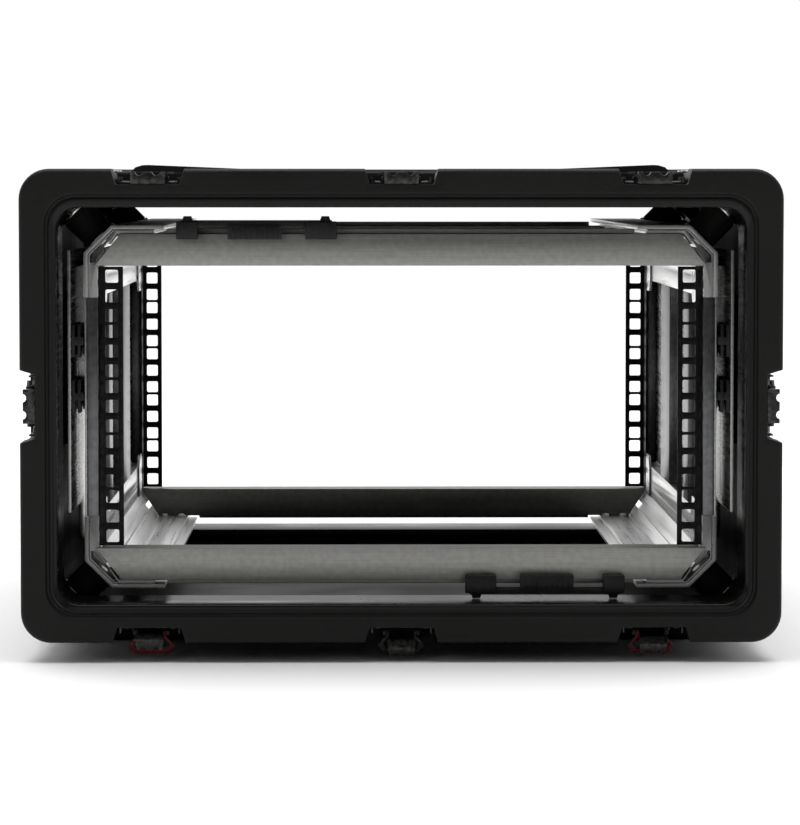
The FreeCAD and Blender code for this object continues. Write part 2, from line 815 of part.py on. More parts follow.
def corner_rail():
    """Extruded corner of the cage, upper right, along the whole cage."""
    outer = chamfer_sum - (runner_wall + glide_gap) * root2 - 0.1
    outline = [(tray_end, tray_z), (bend_x, tray_z), (post_inner, bend_z), (post_inner, leg_end),
               (leg_outer, leg_end), (leg_outer, outer - leg_outer),
               (outer - leg_low, leg_low), (tray_end, leg_low)]
    rail = prism_y([(x, z + cage_z) for x, z in outline], -frame_y, frame_y)
    middle = Vector((bend_x + post_inner) / 2, 0, (tray_z + bend_z) / 2 + cage_z)
    slant = math.degrees(math.atan2(tray_z - bend_z, post_inner - bend_x))
    slot = box((-slot_width / 2, -frame_y - 1, -2.0), (slot_width / 2, frame_y + 1, slot_depth))
    slot.rotate(Vector(0, 0, 0), Vector(0, 1, 0), slant)
    slot.translate(middle)
    rail = rail.cut(slot)
    for x, y in tray_bolt_places():
        rail = rail.cut(rod((x, y, cage_z + tray_z - 1), (0, 0, 1), tray_wall + 0.6,
                            bolt_shank + fit))
    return rail


def tray_bolt(x, y):
    head = rod((x, y, cage_z + tray_z - bolt_height), (0, 0, 1), bolt_height, bolt_head)
    shank = rod((x, y, cage_z + tray_z), (0, 0, 1), tray_wall - 0.6, bolt_shank)
    return union([head, shank])


def cross_bar():
    """Upper front bar: slanted-end face plate, closed tube behind it and a low lip on top."""
    face = prism_y([(-bar_long, cage_z + bar_edge), (bar_long, cage_z + bar_edge),
                    (bar_short, cage_z + tray_z), (-bar_short, cage_z + tray_z)],
                   -cage_y, -frame_y)
    back = -frame_y + tube_depth
    body = prism_y([(-tube_long, cage_z + bar_edge), (tube_long, cage_z + bar_edge),
                    (tube_long, cage_z + bar_edge + 2.5), (tube_short, cage_z + tray_z),
                    (-tube_short, cage_z + tray_z), (-tube_long, cage_z + bar_edge + 2.5)],
                   -frame_y, back)
    bore = box((-half_width, -frame_y, cage_z + bar_edge + tube_wall),
               (half_width, back - tube_wall, cage_z + tray_z - tube_wall))
    lip_y = -frame_y + bar_lip_back
    lip = box((-bar_lip_half, lip_y, cage_z + tray_z - 1.0),
              (bar_lip_half, lip_y + tube_wall, cage_z + bar_lip_top))
    return union([face, body.cut(bore), lip])


def rack_rail():
    """Right front rack rail: holed face and a return along the post."""
    inner = post_inner - rail_face
    low = cage_z - rail_half
    high = cage_z + rail_half
    rail = box((inner, -rail_y, low), (post_inner, -rail_y + rail_wall, high))
    side = box((post_inner - rail_wall, -rail_y, low), (post_inner, -rail_y + rail_return, high))
    rail = rail.fuse(side)
    cutter = box((hole_columns / 2 - square_hole / 2, -rail_y - 1, -square_hole / 2),
                 (hole_columns / 2 + square_hole / 2, -rail_y + rail_wall + 1, square_hole / 2))
    cutter = cutter.makeFillet(square_hole_radius, edges_along(cutter, Vector(0, 1, 0)))
    for unit in range(rack_units):
        middle = cage_z + (unit - (rack_units - 1) / 2) * unit_height
        for offset in (-hole_offset, 0.0, hole_offset):
            hole = cutter.copy()
            hole.translate(Vector(0, 0, middle + offset))
            rail = rail.cut(hole)
    for y, z in rail_bolt_places():
        rail = rail.cut(rod((post_inner - rail_wall - 1, y, z), (1, 0, 0), 4.0, bolt_shank + fit))
    return rail.removeSplitter()


def rail_bolt_places():
    y = -rail_y + rail_return * 0.6
    return [(y, cage_z + step * unit_height) for step in (-1.5, 0.0, 1.5)]


def inner_bolt(face_x, y, z):
    """Bolt with its head inside the cage, into a side member on the right."""
    return union([rod((face_x - bolt_height, y, z), (1, 0, 0), bolt_height, bolt_head),
                  rod((face_x, y, z), (1, 0, 0), 6.0, bolt_shank)])


def side_member(front, back):
    """Upright of the cage's side, between the corner rails."""
    return box((post_inner, front, cage_z - leg_end),
               (panel_outer - panel_wall, back, cage_z + leg_end))


def side_posts():
    posts = [side_member(-frame_y, -frame_y + end_post), side_member(frame_y - end_post, frame_y)]
    for behind, width in mid_posts:
        middle = behind - rail_y
        posts.append(side_member(middle - width / 2, middle + width / 2))
    holes = [rod((post_inner - 1, y, z), (1, 0, 0), 6.0, bolt_shank + fit)
             for y, z in rail_bolt_places()]
    bored = []
    for post in posts:
        for hole in holes:
            for copy in both_ends(hole):
                post = post.cut(copy)
        bored.append(post)
    return bored


def side_panel():
    """Thin skin outside the posts, right."""
    edge = leg_end - 0.6
    return box((panel_outer - panel_wall, -frame_y, cage_z - edge),
               (panel_outer, frame_y, cage_z + edge))


def gusset():
    """Corner plate inside the upright leg, upper right front, with one slanted corner."""
    outline = [(-gusset_y - gusset_half, gusset_high), (-gusset_y + gusset_half, gusset_high),
               (-gusset_y + gusset_half, gusset_low + gusset_cut),
               (-gusset_y + gusset_half - gusset_cut, gusset_low), (-gusset_y - gusset_half, gusset_low)]
    points = [Vector(post_inner - rail_wall, y, cage_z + z) for y, z in outline]
    plate = Part.Face(Part.makePolygon(points + points[:1])).extrude(Vector(rail_wall, 0, 0))
    for y, z in gusset_bolt_places():
        plate = plate.cut(rod((post_inner - 3, y, z), (1, 0, 0), 4.0, bolt_shank + fit))
    return plate


def gusset_bolt_places():
    return [(-gusset_y - 8.0, cage_z + 105.0), (-gusset_y + 8.0, cage_z + 105.0)]


def leg_holes():
    """Holes for the gusset's bolts in the upright leg."""
    holes = []
    for y, z in gusset_bolt_places():
        holes.extend(both_ends(rod((post_inner - 1, y, z), (1, 0, 0), 7.0, bolt_shank + fit)))
    return holes


drilled_rail = corner_rail()
for hole in leg_holes():
    drilled_rail = drilled_rail.cut(hole)
save("corner_rails", four_corners(drilled_rail).values())

top_bar = cross_bar()
low_bar = top_bar.mirror(Vector(0, 0, cage_z), Vector(0, 0, 1))
for level, bar in (("top", top_bar), ("bottom", low_bar)):
    for end, piece in zip(("front", "rear"), both_ends(bar)):
        save("cross_bar_" + end + "_" + level, [piece])

for name, piece in zip(corner_names, at_four_handles([rack_rail()])):
    save("rack_rail_" + name, [piece])

save("side_posts", both_sides(side_posts()))
save("side_panels", both_sides([side_panel()]))

gussets = []
for piece in four_corners(gusset()).values():
    gussets.extend(both_ends(piece))
save("gusset_plates", gussets)

cage_bolts = []
for x, y in tray_bolt_places():
    cage_bolts.extend(four_corners(tray_bolt(x, y)).values())
for y, z in rail_bolt_places():
    cage_bolts.extend(at_four_handles([inner_bolt(post_inner - rail_wall, y, z)]))
for y, z in gusset_bolt_places():
    for piece in four_corners(inner_bolt(post_inner - rail_wall, y, z)).values():
        cage_bolts.extend(both_ends(piece))
save("cage_bolts", cage_bolts)

# ---- cage locks ----------------------------------------------------------------------------
# Drawn at the upper left of the front bar. The second lock is the first one turned half a turn
# about the cage's middle line.
lock_face = -cage_y
lock_middle_y = lock_face - lock_depth / 2 - 0.2


def second_lock(shape):
    turned = shape.copy()
    turned.rotate(Vector(0, 0, cage_z), Vector(0, 1, 0), 180.0)
    return turned


def lock_guides():
    """Two slotted guide blocks on the bar's face."""
    guides = []
    bar_end = lock_outer + lock_outer_width / 2 - 3.0
    for middle, width, closed in ((lock_outer, lock_outer_width, -1.0),
                                  (lock_inner, lock_inner_width, 1.0)):
        block = box((-middle - width / 2, lock_face - lock_depth, cage_z + lock_low),
                    (-middle + width / 2, lock_face, cage_z + lock_high))
        if closed < 0:
            ends = (-bar_end, -middle + width)
        else:
            ends = (-middle - width, -middle + width / 2 - 3.0)
        slot = box((ends[0], lock_middle_y - lock_slot / 2, cage_z + lock_slot_floor),
                   (ends[1], lock_middle_y + lock_slot / 2, cage_z + lock_high + 1))
        guides.append(block.cut(slot))
    return guides


def lock_bar():
    """Sliding bar with two pins on top and the ribbed thumb pad in the middle."""
    left = -lock_outer - lock_outer_width / 2 + 3.5
    right = -lock_inner + lock_inner_width / 2 - 3.5
    front = lock_middle_y - lock_bar_thick / 2
    back = lock_middle_y + lock_bar_thick / 2
    pieces = [box((left, front, cage_z + lock_bar_low), (right, back, cage_z + lock_bar_high))]
    for x in (left + lock_pin_width / 2 + 1, right - lock_pin_width / 2 - 1):
        half = lock_pin_width / 2
        outline = [(x - half, cage_z + lock_bar_high - 1), (x + half, cage_z + lock_bar_high - 1),
                   (x + half - 1.5, cage_z + lock_pin_top), (x - half + 1.5, cage_z + lock_pin_top)]
        pieces.append(prism_y(outline, front, back))
    pad_front = lock_face - lock_depth
    pad_low = cage_z + lock_low
    pieces.append(box((-lock_pad - lock_pad_width / 2, pad_front, pad_low),
                      (-lock_pad + lock_pad_width / 2, lock_face - 0.5, pad_low + lock_pad_height)))
    pitch = lock_pad_width / (lock_ribs + 1)
    for index in range(lock_ribs):
        x = -lock_pad - lock_pad_width / 2 + (index + 1) * pitch
        pieces.append(box((x - pitch / 4, pad_front - 0.8, pad_low + 1.5),
                          (x + pitch / 4, pad_front + 0.5, pad_low + lock_pad_height - 1.5)))
    return union(pieces)


def lock_springs():
    """Return springs under the ends of the bar, in the guide blocks' slots."""
    length = lock_bar_low - lock_slot_floor - 0.1
    return [tube((-x, lock_middle_y, cage_z + lock_slot_floor), (0, 0, 1), length, lock_spring,
                 lock_spring_bore) for x in (lock_outer, lock_inner)]


guides = lock_guides()
save("lock_guides", guides + [second_lock(guide) for guide in guides])
save("lock_bar_top", [lock_bar()])
save("lock_bar_bottom", [second_lock(lock_bar())])
save("lock_spring_top", lock_springs())
save("lock_spring_bottom", [second_lock(spring) for spring in lock_springs()])
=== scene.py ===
import json
import math

import bmesh
import bpy
import numpy as np
from mathutils import Matrix, Vector


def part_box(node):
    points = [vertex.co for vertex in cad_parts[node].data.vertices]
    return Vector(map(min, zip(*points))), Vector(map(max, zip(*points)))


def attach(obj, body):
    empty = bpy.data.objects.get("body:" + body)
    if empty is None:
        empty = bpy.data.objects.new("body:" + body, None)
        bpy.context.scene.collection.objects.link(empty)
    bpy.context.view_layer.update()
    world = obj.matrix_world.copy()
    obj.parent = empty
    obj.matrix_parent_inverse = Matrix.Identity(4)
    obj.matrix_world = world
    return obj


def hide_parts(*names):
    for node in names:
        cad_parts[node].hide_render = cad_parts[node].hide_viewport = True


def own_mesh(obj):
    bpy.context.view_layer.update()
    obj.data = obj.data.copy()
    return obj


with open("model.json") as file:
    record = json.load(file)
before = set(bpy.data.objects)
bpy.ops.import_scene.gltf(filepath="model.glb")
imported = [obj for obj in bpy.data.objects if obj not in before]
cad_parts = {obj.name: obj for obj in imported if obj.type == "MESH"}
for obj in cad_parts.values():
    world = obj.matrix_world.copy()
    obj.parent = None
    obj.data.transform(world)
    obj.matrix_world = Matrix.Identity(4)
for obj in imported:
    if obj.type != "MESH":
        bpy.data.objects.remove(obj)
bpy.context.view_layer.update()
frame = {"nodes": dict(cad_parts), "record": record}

scene = bpy.context.scene
MM = 0.001


# ---- places read from the frame ----
shell_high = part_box("case_shell")[1]
dish_low, dish_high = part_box("latch_dishes")
rail_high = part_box("corner_rails")[1]
half_width = shell_high.x
half_depth = shell_high.y
cage_z = (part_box("cross_bar_front_top")[1].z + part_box("cross_bar_front_bottom")[0].z) / 2
recess_depth = 12.5 * MM
rim_z = (dish_low.z + dish_high.z) / 2
half_height = (dish_high.z - dish_low.z) / 2 + 6.5 * MM


# ---- shell sizes ----
body_inset = 3.0 * MM
wall = 6.5 * MM
rim_radius = 24.0 * MM
flange_depth = 40.0 * MM
lip_side = 29.0 * MM
lip_top = 30.5 * MM
face_width = 20.3 * MM
collar_depth = 74.0 * MM
band_places = ((0.0, 25.0 * MM), (209.0 * MM, 18.0 * MM))
latch_spread = 200.0 * MM
recess_length = 70.0 * MM
recess_floor = 25.0 * MM
recess_mouth = 29.0 * MM
spindle_y = 42.0 * MM
handle_plate_low, handle_plate_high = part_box("handle_plates")
handle_z = (handle_plate_low.z + handle_plate_high.z) / 2
handle_y = 110.0 * MM
pocket_half_length = 75.0 * MM
pocket_half_height = 55.0 * MM
pocket_depth = 16.0 * MM
foot_x = 205.0 * MM
foot_y = 175.0 * MM
foot_half = 45.0 * MM
foot_taper = 5.0 * MM
foot_radius = 8.0 * MM
lug_depth = 90.0 * MM
hollow_depth = 28.0 * MM


# ---- mesh helpers ----
def new_object(name, data):
    made = bpy.data.objects.new(name, data)
    scene.collection.objects.link(made)
    return made


def object_from_bmesh(name, bm):
    mesh = bpy.data.meshes.new(name)
    bm.to_mesh(mesh)
    bm.free()
    return new_object(name, mesh)


def apply_modifiers(piece):
    """Bake the object's modifiers into its mesh."""
    graph = bpy.context.evaluated_depsgraph_get()
    graph.update()
    mesh = bpy.data.meshes.new_from_object(piece.evaluated_get(graph), depsgraph=graph)
    piece.modifiers.clear()
    piece.data = mesh
    return piece


def smooth_by_angle(piece, degrees=35.0):
    for polygon in piece.data.polygons:
        polygon.use_smooth = True
    piece.data.set_sharp_from_angle(angle=math.radians(degrees))


def ease_edges(piece, width, segments=2, degrees=32.0):
    """Round the sharp edges by a small radius."""
    bevel = piece.modifiers.new("eased", "BEVEL")
    bevel.width = width
    bevel.segments = segments
    bevel.limit_method = "ANGLE"
    bevel.angle_limit = math.radians(degrees)
    bevel.use_clamp_overlap = True
    bevel.harden_normals = False
    apply_modifiers(piece)
    smooth_by_angle(piece, 40.0)


def set_material(piece, material):
    piece.data.materials.clear()
    piece.data.materials.append(material)


def finish_piece(piece, body, slot, *nodes):
    """Hang the piece on the body that carries it and hide the nodes it stands in for; the slot is
    not used.
    """
    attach(piece, body)
    if nodes:
        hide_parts(*nodes)


def ease_and_finish(piece, width, material, body, slot, *nodes, segments=2):
    ease_edges(piece, width, segments)
    set_material(piece, material)
    finish_piece(piece, body, slot, *nodes)


def body_of_node(node):
    for body, nodes in frame["record"]["behaviour"]["bodies"].items():
        if node in nodes:
            return body
    raise KeyError(node)


def merged_copy(node):
    """A node's mesh with its triangles joined into clean faces."""
    bm = bmesh.new()
    bm.from_mesh(frame["nodes"][node].data)
    bmesh.ops.remove_doubles(bm, verts=bm.verts, dist=2e-6)
    bmesh.ops.dissolve_limit(bm, angle_limit=math.radians(0.6), verts=bm.verts, edges=bm.edges,
                             delimit={"NORMAL"})
    return bm


def eased_node(node, width, material, slot, segments=2):
    """A finer copy of a plain node, with eased edges, standing in for it."""
    piece = object_from_bmesh(node + "_finished", merged_copy(node))
    ease_and_finish(piece, width, material, body_of_node(node), slot, node, segments=segments)


def loose_parts(bm):
    """Vertices of each separate solid."""
    seen = set()
    groups = []
    for start in bm.verts:
        if start in seen:
            continue
        seen.add(start)
        group = [start]
        for vertex in group:
            for edge in vertex.link_edges:
                other = edge.other_vert(vertex)
                if other not in seen:
                    seen.add(other)
                    group.append(other)
        groups.append(group)
    return groups


def extent(group):
    """Low and high corners of the box round a group of vertices."""
    points = np.array([v.co for v in group])
    return points.min(0), points.max(0)


def span(group, axis):
    low, high = extent(group)
    return float(high[axis] - low[axis])


def thickness(group):
    """The smallest side of a solid's box."""
    return min(span(group, axis) for axis in range(3))


def rounded_loop(half_x, half_z, radius, y, corner_steps=10, side_steps=10, top_steps=16):
    """Points round a rounded rectangle about the rim's middle, all loops alike in number."""
    points = []
    corners = ((1, 1, 0.0), (-1, 1, 90.0), (-1, -1, 180.0), (1, -1, 270.0))
    for index, (sx, sz, start) in enumerate(corners):
        cx = sx * (half_x - radius)
        cz = sz * (half_z - radius)
        for step in range(corner_steps + 1):
            angle = math.radians(start + 90.0 * step / corner_steps)
            points.append((cx + radius * math.cos(angle), y, rim_z + cz + radius * math.sin(angle)))
        nx, nz, nstart = corners[(index + 1) % 4]
        ncx = nx * (half_x - radius)
        ncz = nz * (half_z - radius)
        angle = math.radians(nstart)
        target = (ncx + radius * math.cos(angle), rim_z + ncz + radius * math.sin(angle))
        last = (points[-1][0], points[-1][2])
        steps = top_steps if index % 2 == 0 else side_steps
        for step in range(1, steps):
            share = step / steps
            points.append((last[0] + (target[0] - last[0]) * share, y,
                           last[1] + (target[1] - last[1]) * share))
    return points


def skin_loops(bm, loops, closed):
    """Faces between neighbouring loops of points: a ring when closed, else a capped bar."""
    rings = [[bm.verts.new(point) for point in loop] for loop in loops]
    pairs = list(zip(rings, rings[1:]))
    if closed:
        pairs.append((rings[-1], rings[0]))
    for near, far in pairs:
        count = len(near)
        for index in range(count):
            after = (index + 1) % count
            bm.faces.new((near[index], near[after], far[after], far[index]))
    if not closed:
        bm.faces.new(rings[0])
        bm.faces.new(rings[-1])


def arc_points(centre, radius, start, stop, steps):
    """Points of an arc in a plane, as pairs."""
    made = []
    for step in range(steps + 1):
        angle = math.radians(start + (stop - start) * step / steps)
        made.append((centre[0] + radius * math.cos(angle), centre[1] + radius * math.sin(angle)))
    return made


# ---- shader helpers ----
def node_in(tree, kind, **settings):
    made = tree.nodes.new(kind)
    for key, value in settings.items():
        setattr(made, key, value)
    return made


def feed(tree, socket, value):
    """Put a constant or another node's output into a socket."""
    if isinstance(value, bpy.types.NodeSocket):
        tree.links.new(value, socket)
    else:
        socket.default_value = value


def math_node(tree, operation, first, second=None, clamp=False):
    made = node_in(tree, "ShaderNodeMath", operation=operation, use_clamp=clamp)
    feed(tree, made.inputs[0], first)
    if second is not None:
        feed(tree, made.inputs[1], second)
    return made.outputs[0]


def ramp_node(tree, value, low, high, low_out=0.0, high_out=1.0):
    made = node_in(tree, "ShaderNodeMapRange")
    made.inputs["From Min"].default_value = low
    made.inputs["From Max"].default_value = high
    made.inputs["To Min"].default_value = low_out
    made.inputs["To Max"].default_value = high_out
    tree.links.new(value, made.inputs["Value"])
    return made.outputs["Result"]


def mix_colour(tree, share, first, second):
    made = node_in(tree, "ShaderNodeMix", data_type="RGBA")
    feed(tree, made.inputs["Factor"], share)
    for socket, value in ((made.inputs[6], first), (made.inputs[7], second)):
        feed(tree, socket, (*value, 1.0) if isinstance(value, tuple) else value)
    return made.outputs[2]


def axes_of(tree, vector):
    made = node_in(tree, "ShaderNodeSeparateXYZ")
    tree.links.new(vector, made.inputs["Vector"])
    return made.outputs


def coordinates(tree, kind):
    return node_in(tree, "ShaderNodeTexCoord").outputs[kind]


def noise_node(tree, vector, scale, detail, roughness=0.55):
    made = node_in(tree, "ShaderNodeTexNoise")
    feed(tree, made.inputs["Scale"], scale)
    made.inputs["Detail"].default_value = detail
    made.inputs["Roughness"].default_value = roughness
    tree.links.new(vector, made.inputs["Vector"])
    return made.outputs["Fac"]


def new_group(name, inputs, outputs):
    """A shader group with float inputs (name, default) and float outputs."""
    group = bpy.data.node_groups.new(name, "ShaderNodeTree")
    group.interface.new_socket("Vector", in_out="INPUT", socket_type="NodeSocketVector")
    for label, value in inputs:
        socket = group.interface.new_socket(label, in_out="INPUT", socket_type="NodeSocketFloat")
        socket.default_value = value
    for label in outputs:
        group.interface.new_socket(label, in_out="OUTPUT", socket_type="NodeSocketFloat")
    return group, node_in(group, "NodeGroupInput"), node_in(group, "NodeGroupOutput")


def moulded_grain_group():
    """Fine pebble of a rotation-moulded skin, with slow waviness under it."""
    group, inner, outer = new_group("moulded_grain", [("Pebble", 900.0), ("Wave", 14.0)],
                                    ["Height", "Tone"])
    pebble = node_in(group, "ShaderNodeTexVoronoi", feature="SMOOTH_F1")
    pebble.inputs["Smoothness"].default_value = 0.7
    group.links.new(inner.outputs["Vector"], pebble.inputs["Vector"])
    group.links.new(inner.outputs["Pebble"], pebble.inputs["Scale"])
    wave = noise_node(group, inner.outputs["Vector"], inner.outputs["Wave"], 2.0, 0.5)
    soft = math_node(group, "MULTIPLY", wave, 2.2)
    height = math_node(group, "SUBTRACT", soft, pebble.outputs["Distance"])
    group.links.new(height, outer.inputs["Height"])
    group.links.new(wave, outer.inputs["Tone"])
    return group


def brushed_group():
    """Long fine scratches; the vector comes in already stretched along the brushing."""
    group, inner, outer = new_group("brushed_lines", [("Fineness", 400.0)], ["Lines", "Streaks"])
    vector = inner.outputs["Vector"]
    coarse = math_node(group, "MULTIPLY", inner.outputs["Fineness"], 0.12)
    fine = noise_node(group, vector, inner.outputs["Fineness"], 4.0, 0.5)
    broad = noise_node(group, vector, coarse, 2.0, 0.5)
    group.links.new(fine, outer.inputs["Lines"])
    group.links.new(broad, outer.inputs["Streaks"])
    return group


def worn_edges_group():
    """Mask of raised edges, broken up so that the wear is uneven."""
    group, inner, outer = new_group("worn_edges", [("Amount", 0.5), ("Breakup", 160.0)], ["Mask"])
    geometry = node_in(group, "ShaderNodeNewGeometry")
    raised = ramp_node(group, geometry.outputs["Pointiness"], 0.52, 0.62)
    patches = noise_node(group, inner.outputs["Vector"], inner.outputs["Breakup"], 5.0, 0.5)
    broken = ramp_node(group, patches, 0.38, 0.62)
    mask = math_node(group, "MULTIPLY", raised, broken)
    mask = math_node(group, "MULTIPLY", mask, inner.outputs["Amount"], clamp=True)
    group.links.new(mask, outer.inputs["Mask"])
    return group


def dust_group():
    """Thin uneven film of dust and faint scuffs."""
    group, inner, outer = new_group("dust_film", [("Amount", 0.5), ("Patch", 9.0)], ["Mask"])
    cloud = noise_node(group, inner.outputs["Vector"], inner.outputs["Patch"], 7.0, 0.7)
    film = ramp_node(group, cloud, 0.45, 0.75)
    mask = math_node(group, "MULTIPLY", film, inner.outputs["Amount"], clamp=True)
    group.links.new(mask, outer.inputs["Mask"])
    return group


groups = {"grain": moulded_grain_group(), "brushed": brushed_group(),
          "worn": worn_edges_group(), "dust": dust_group()}


def place_group(tree, label, vector, **values):
    made = node_in(tree, "ShaderNodeGroup", node_tree=groups[label])
    tree.links.new(vector, made.inputs["Vector"])
    for key, value in values.items():
        made.inputs[key].default_value = value
    return made.outputs


def start_material(name, colour, metallic, roughness):
    """A new material with its tree, its shader and the object coordinates."""
    material = bpy.data.materials.new(name)
    material.use_nodes = True
    material.diffuse_color = (*colour, 1.0)
    tree = material.node_tree
    shader = tree.nodes["Principled BSDF"]
    shader.inputs["Base Color"].default_value = (*colour, 1.0)
    shader.inputs["Metallic"].default_value = metallic
    shader.inputs["Roughness"].default_value = roughness
    return material, tree, shader, coordinates(tree, "Object")


def stretched(tree, place, scale):
    mapping = node_in(tree, "ShaderNodeMapping")
    mapping.inputs["Scale"].default_value = scale
    tree.links.new(place, mapping.inputs["Vector"])
    return mapping.outputs["Vector"]


def add_bump(tree, shader, height, strength, distance):
    bump = node_in(tree, "ShaderNodeBump")
    bump.inputs["Strength"].default_value = strength
    bump.inputs["Distance"].default_value = distance
    tree.links.new(height, bump.inputs["Height"])
    tree.links.new(bump.outputs["Normal"], shader.inputs["Normal"])


# ---- materials ----
def moulded_shell_material():
    """Pebbled outside; the collars and the bore, found by place, are smoother and glossier."""
    material, tree, shader, place = start_material("moulded_polyethylene", (0.006, 0.006, 0.0056),
                                                   0.0, 0.5)
    grain = place_group(tree, "grain", place, Pebble=620.0, Wave=11.0)
    worn = place_group(tree, "worn", place, Amount=0.5, Breakup=120.0)
    dust = place_group(tree, "dust", place, Amount=0.35, Patch=7.0)
    tone = mix_colour(tree, grain["Tone"], (0.0036, 0.0036, 0.0032), (0.0062, 0.0062, 0.0056))
    rubbed = mix_colour(tree, worn["Mask"], tone, (0.022, 0.022, 0.021))
    dusty = mix_colour(tree, math_node(tree, "MULTIPLY", dust["Mask"], 0.25), rubbed,
                       (0.03, 0.029, 0.027))
    tree.links.new(dusty, shader.inputs["Base Color"])
    axes = axes_of(tree, place)
    across = math_node(tree, "ABSOLUTE", axes["X"])
    level = math_node(tree, "ABSOLUTE", math_node(tree, "SUBTRACT", axes["Z"], rim_z))
    in_x = math_node(tree, "LESS_THAN", across, half_width - lip_side + 2.0 * MM)
    in_z = math_node(tree, "LESS_THAN", level, half_height - lip_top + 2.0 * MM)
    inside = math_node(tree, "MULTIPLY", in_x, in_z)
    sheen = ramp_node(tree, grain["Tone"], 0.3, 0.7, 0.42, 0.56)
    gloss = math_node(tree, "SUBTRACT", sheen, math_node(tree, "MULTIPLY", inside, 0.26))
    dulled = math_node(tree, "MULTIPLY", dust["Mask"], 0.2)
    rough = math_node(tree, "ADD", gloss, dulled, clamp=True)
    tree.links.new(rough, shader.inputs["Roughness"])
    shader.inputs["Specular IOR Level"].default_value = 0.18
    smoother = math_node(tree, "SUBTRACT", 1.0, math_node(tree, "MULTIPLY", inside, 0.85))
    add_bump(tree, shader, math_node(tree, "MULTIPLY", grain["Height"], smoother), 0.22, 0.0005)
    return material


def metal_material(name, dark, light, rough_low, rough_high, stretch, fineness=420.0, bump=0.05,
                   edge=(0.9, 0.9, 0.9), wear=0.3, painted_end_shade=0.0):
    """Bare or anodised aluminium, brushed along the direction that the stretch leaves coarse.

    Faces across Y, the ends, get painted shade: darker and duller by the share given."""
    material, tree, shader, place = start_material(name, light, 1.0, rough_low)
    lines = place_group(tree, "brushed", stretched(tree, place, stretch), Fineness=fineness)
    worn = place_group(tree, "worn", place, Amount=wear, Breakup=200.0)
    both = math_node(tree, "ADD", math_node(tree, "MULTIPLY", lines["Lines"], 0.6),
                     math_node(tree, "MULTIPLY", lines["Streaks"], 0.4))
    tone = mix_colour(tree, ramp_node(tree, both, 0.35, 0.65), dark, light)
    tone = mix_colour(tree, worn["Mask"], tone, edge)
    rough = ramp_node(tree, both, 0.3, 0.7, rough_low, rough_high)
    # Painted shade: the faces across Y are darkened to near black (0.05) and made duller by the
    # share given.
    if painted_end_shade > 0.0:
        axes = axes_of(tree, coordinates(tree, "Normal"))
        facing = math_node(tree, "ABSOLUTE", axes["Y"])
        cut = ramp_node(tree, facing, 0.75, 0.95, 0.0, painted_end_shade)
        tone = mix_colour(tree, cut, tone, (0.05, 0.05, 0.048))
        rough = math_node(tree, "ADD", rough, math_node(tree, "MULTIPLY", cut, 0.25))
    tree.links.new(tone, shader.inputs["Base Color"])
    tree.links.new(rough, shader.inputs["Roughness"])
    if bump > 0.0:
        add_bump(tree, shader, lines["Lines"], bump, 0.0002)
    return material


def coated_material(name, colour, roughness, wear, bare, orange_peel=0.12, gloss=0.2):
    """Painted or powder-coated steel, rubbed bright on its edges."""
    material, tree, shader, place = start_material(name, colour, 0.0, roughness)
    shader.inputs["Specular IOR Level"].default_value = gloss
    peel = noise_node(tree, place, 1100.0, 2.0)
    blotch = noise_node(tree, place, 45.0, 4.0)
    worn = place_group(tree, "worn", place, Amount=wear, Breakup=320.0)
    lighter = tuple(c * 1.5 for c in colour)
    tone = mix_colour(tree, ramp_node(tree, blotch, 0.35, 0.7), colour, lighter)
    tree.links.new(mix_colour(tree, worn["Mask"], tone, bare), shader.inputs["Base Color"])
    tree.links.new(worn["Mask"], shader.inputs["Metallic"])
    tree.links.new(ramp_node(tree, blotch, 0.3, 0.7, roughness - 0.07, roughness + 0.07),
                   shader.inputs["Roughness"])
    add_bump(tree, shader, peel, orange_peel, 0.0003)
    return material


def rubber_material(name, colour, roughness, grain):
    """Matt rubber or nylon with a fine speckle and some dust."""
    material, tree, shader, place = start_material(name, colour, 0.0, roughness)
    shader.inputs["Specular IOR Level"].default_value = 0.2
    speckle = noise_node(tree, place, grain, 3.0)
    dust = place_group(tree, "dust", place, Amount=0.6, Patch=40.0)
    lighter = tuple(c * 2.2 for c in colour)
    tone = mix_colour(tree, ramp_node(tree, speckle, 0.35, 0.7), colour, lighter)
    tree.links.new(mix_colour(tree, math_node(tree, "MULTIPLY", dust["Mask"], 0.3), tone,
                              (0.07, 0.067, 0.06)), shader.inputs["Base Color"])
    tree.links.new(ramp_node(tree, speckle, 0.3, 0.7, roughness - 0.06, roughness + 0.08),
                   shader.inputs["Roughness"])
    add_bump(tree, shader, speckle, 0.25, 0.0003)
    return material


shell_black = moulded_shell_material()
# The polished aluminium and the satin sheet get painted shade on their faces across Y.
polished_aluminium = metal_material("polished_aluminium", (0.72, 0.722, 0.715),
                                    (0.88, 0.882, 0.875), 0.24, 0.34, (1.0, 0.012, 1.0), 420.0,
                                    bump=0.02, wear=0.1, painted_end_shade=0.75)
satin_sheet = metal_material("satin_sheet", (0.62, 0.622, 0.615), (0.84, 0.842, 0.835), 0.2, 0.36,
                             (1.0, 0.012, 1.0), 300.0, bump=0.015, wear=0.1, painted_end_shade=0.6)
bright_post = metal_material("bright_post", (0.5, 0.49, 0.47), (0.93, 0.93, 0.92), 0.1, 0.3,
                             (1.0, 1.0, 0.12), 90.0, bump=0.0, wear=0.1)
brushed_aluminium = metal_material("brushed_grey_aluminium", (0.25, 0.248, 0.236),
                                   (0.34, 0.337, 0.322), 0.42, 0.52, (0.01, 1.0, 1.0), 1500.0,
                                   bump=0.04, edge=(0.6, 0.6, 0.58), wear=0.4)
black_anodised = metal_material("black_anodised", (0.07, 0.071, 0.074), (0.11, 0.111, 0.114),
                                0.26, 0.38, (1.0, 1.0, 0.01), 1300.0, edge=(0.3, 0.3, 0.3))
black_steel = coated_material("black_powder_coat", (0.0025, 0.0025, 0.0027), 0.45, 0.12,
                              (0.2, 0.2, 0.2), gloss=0.1)
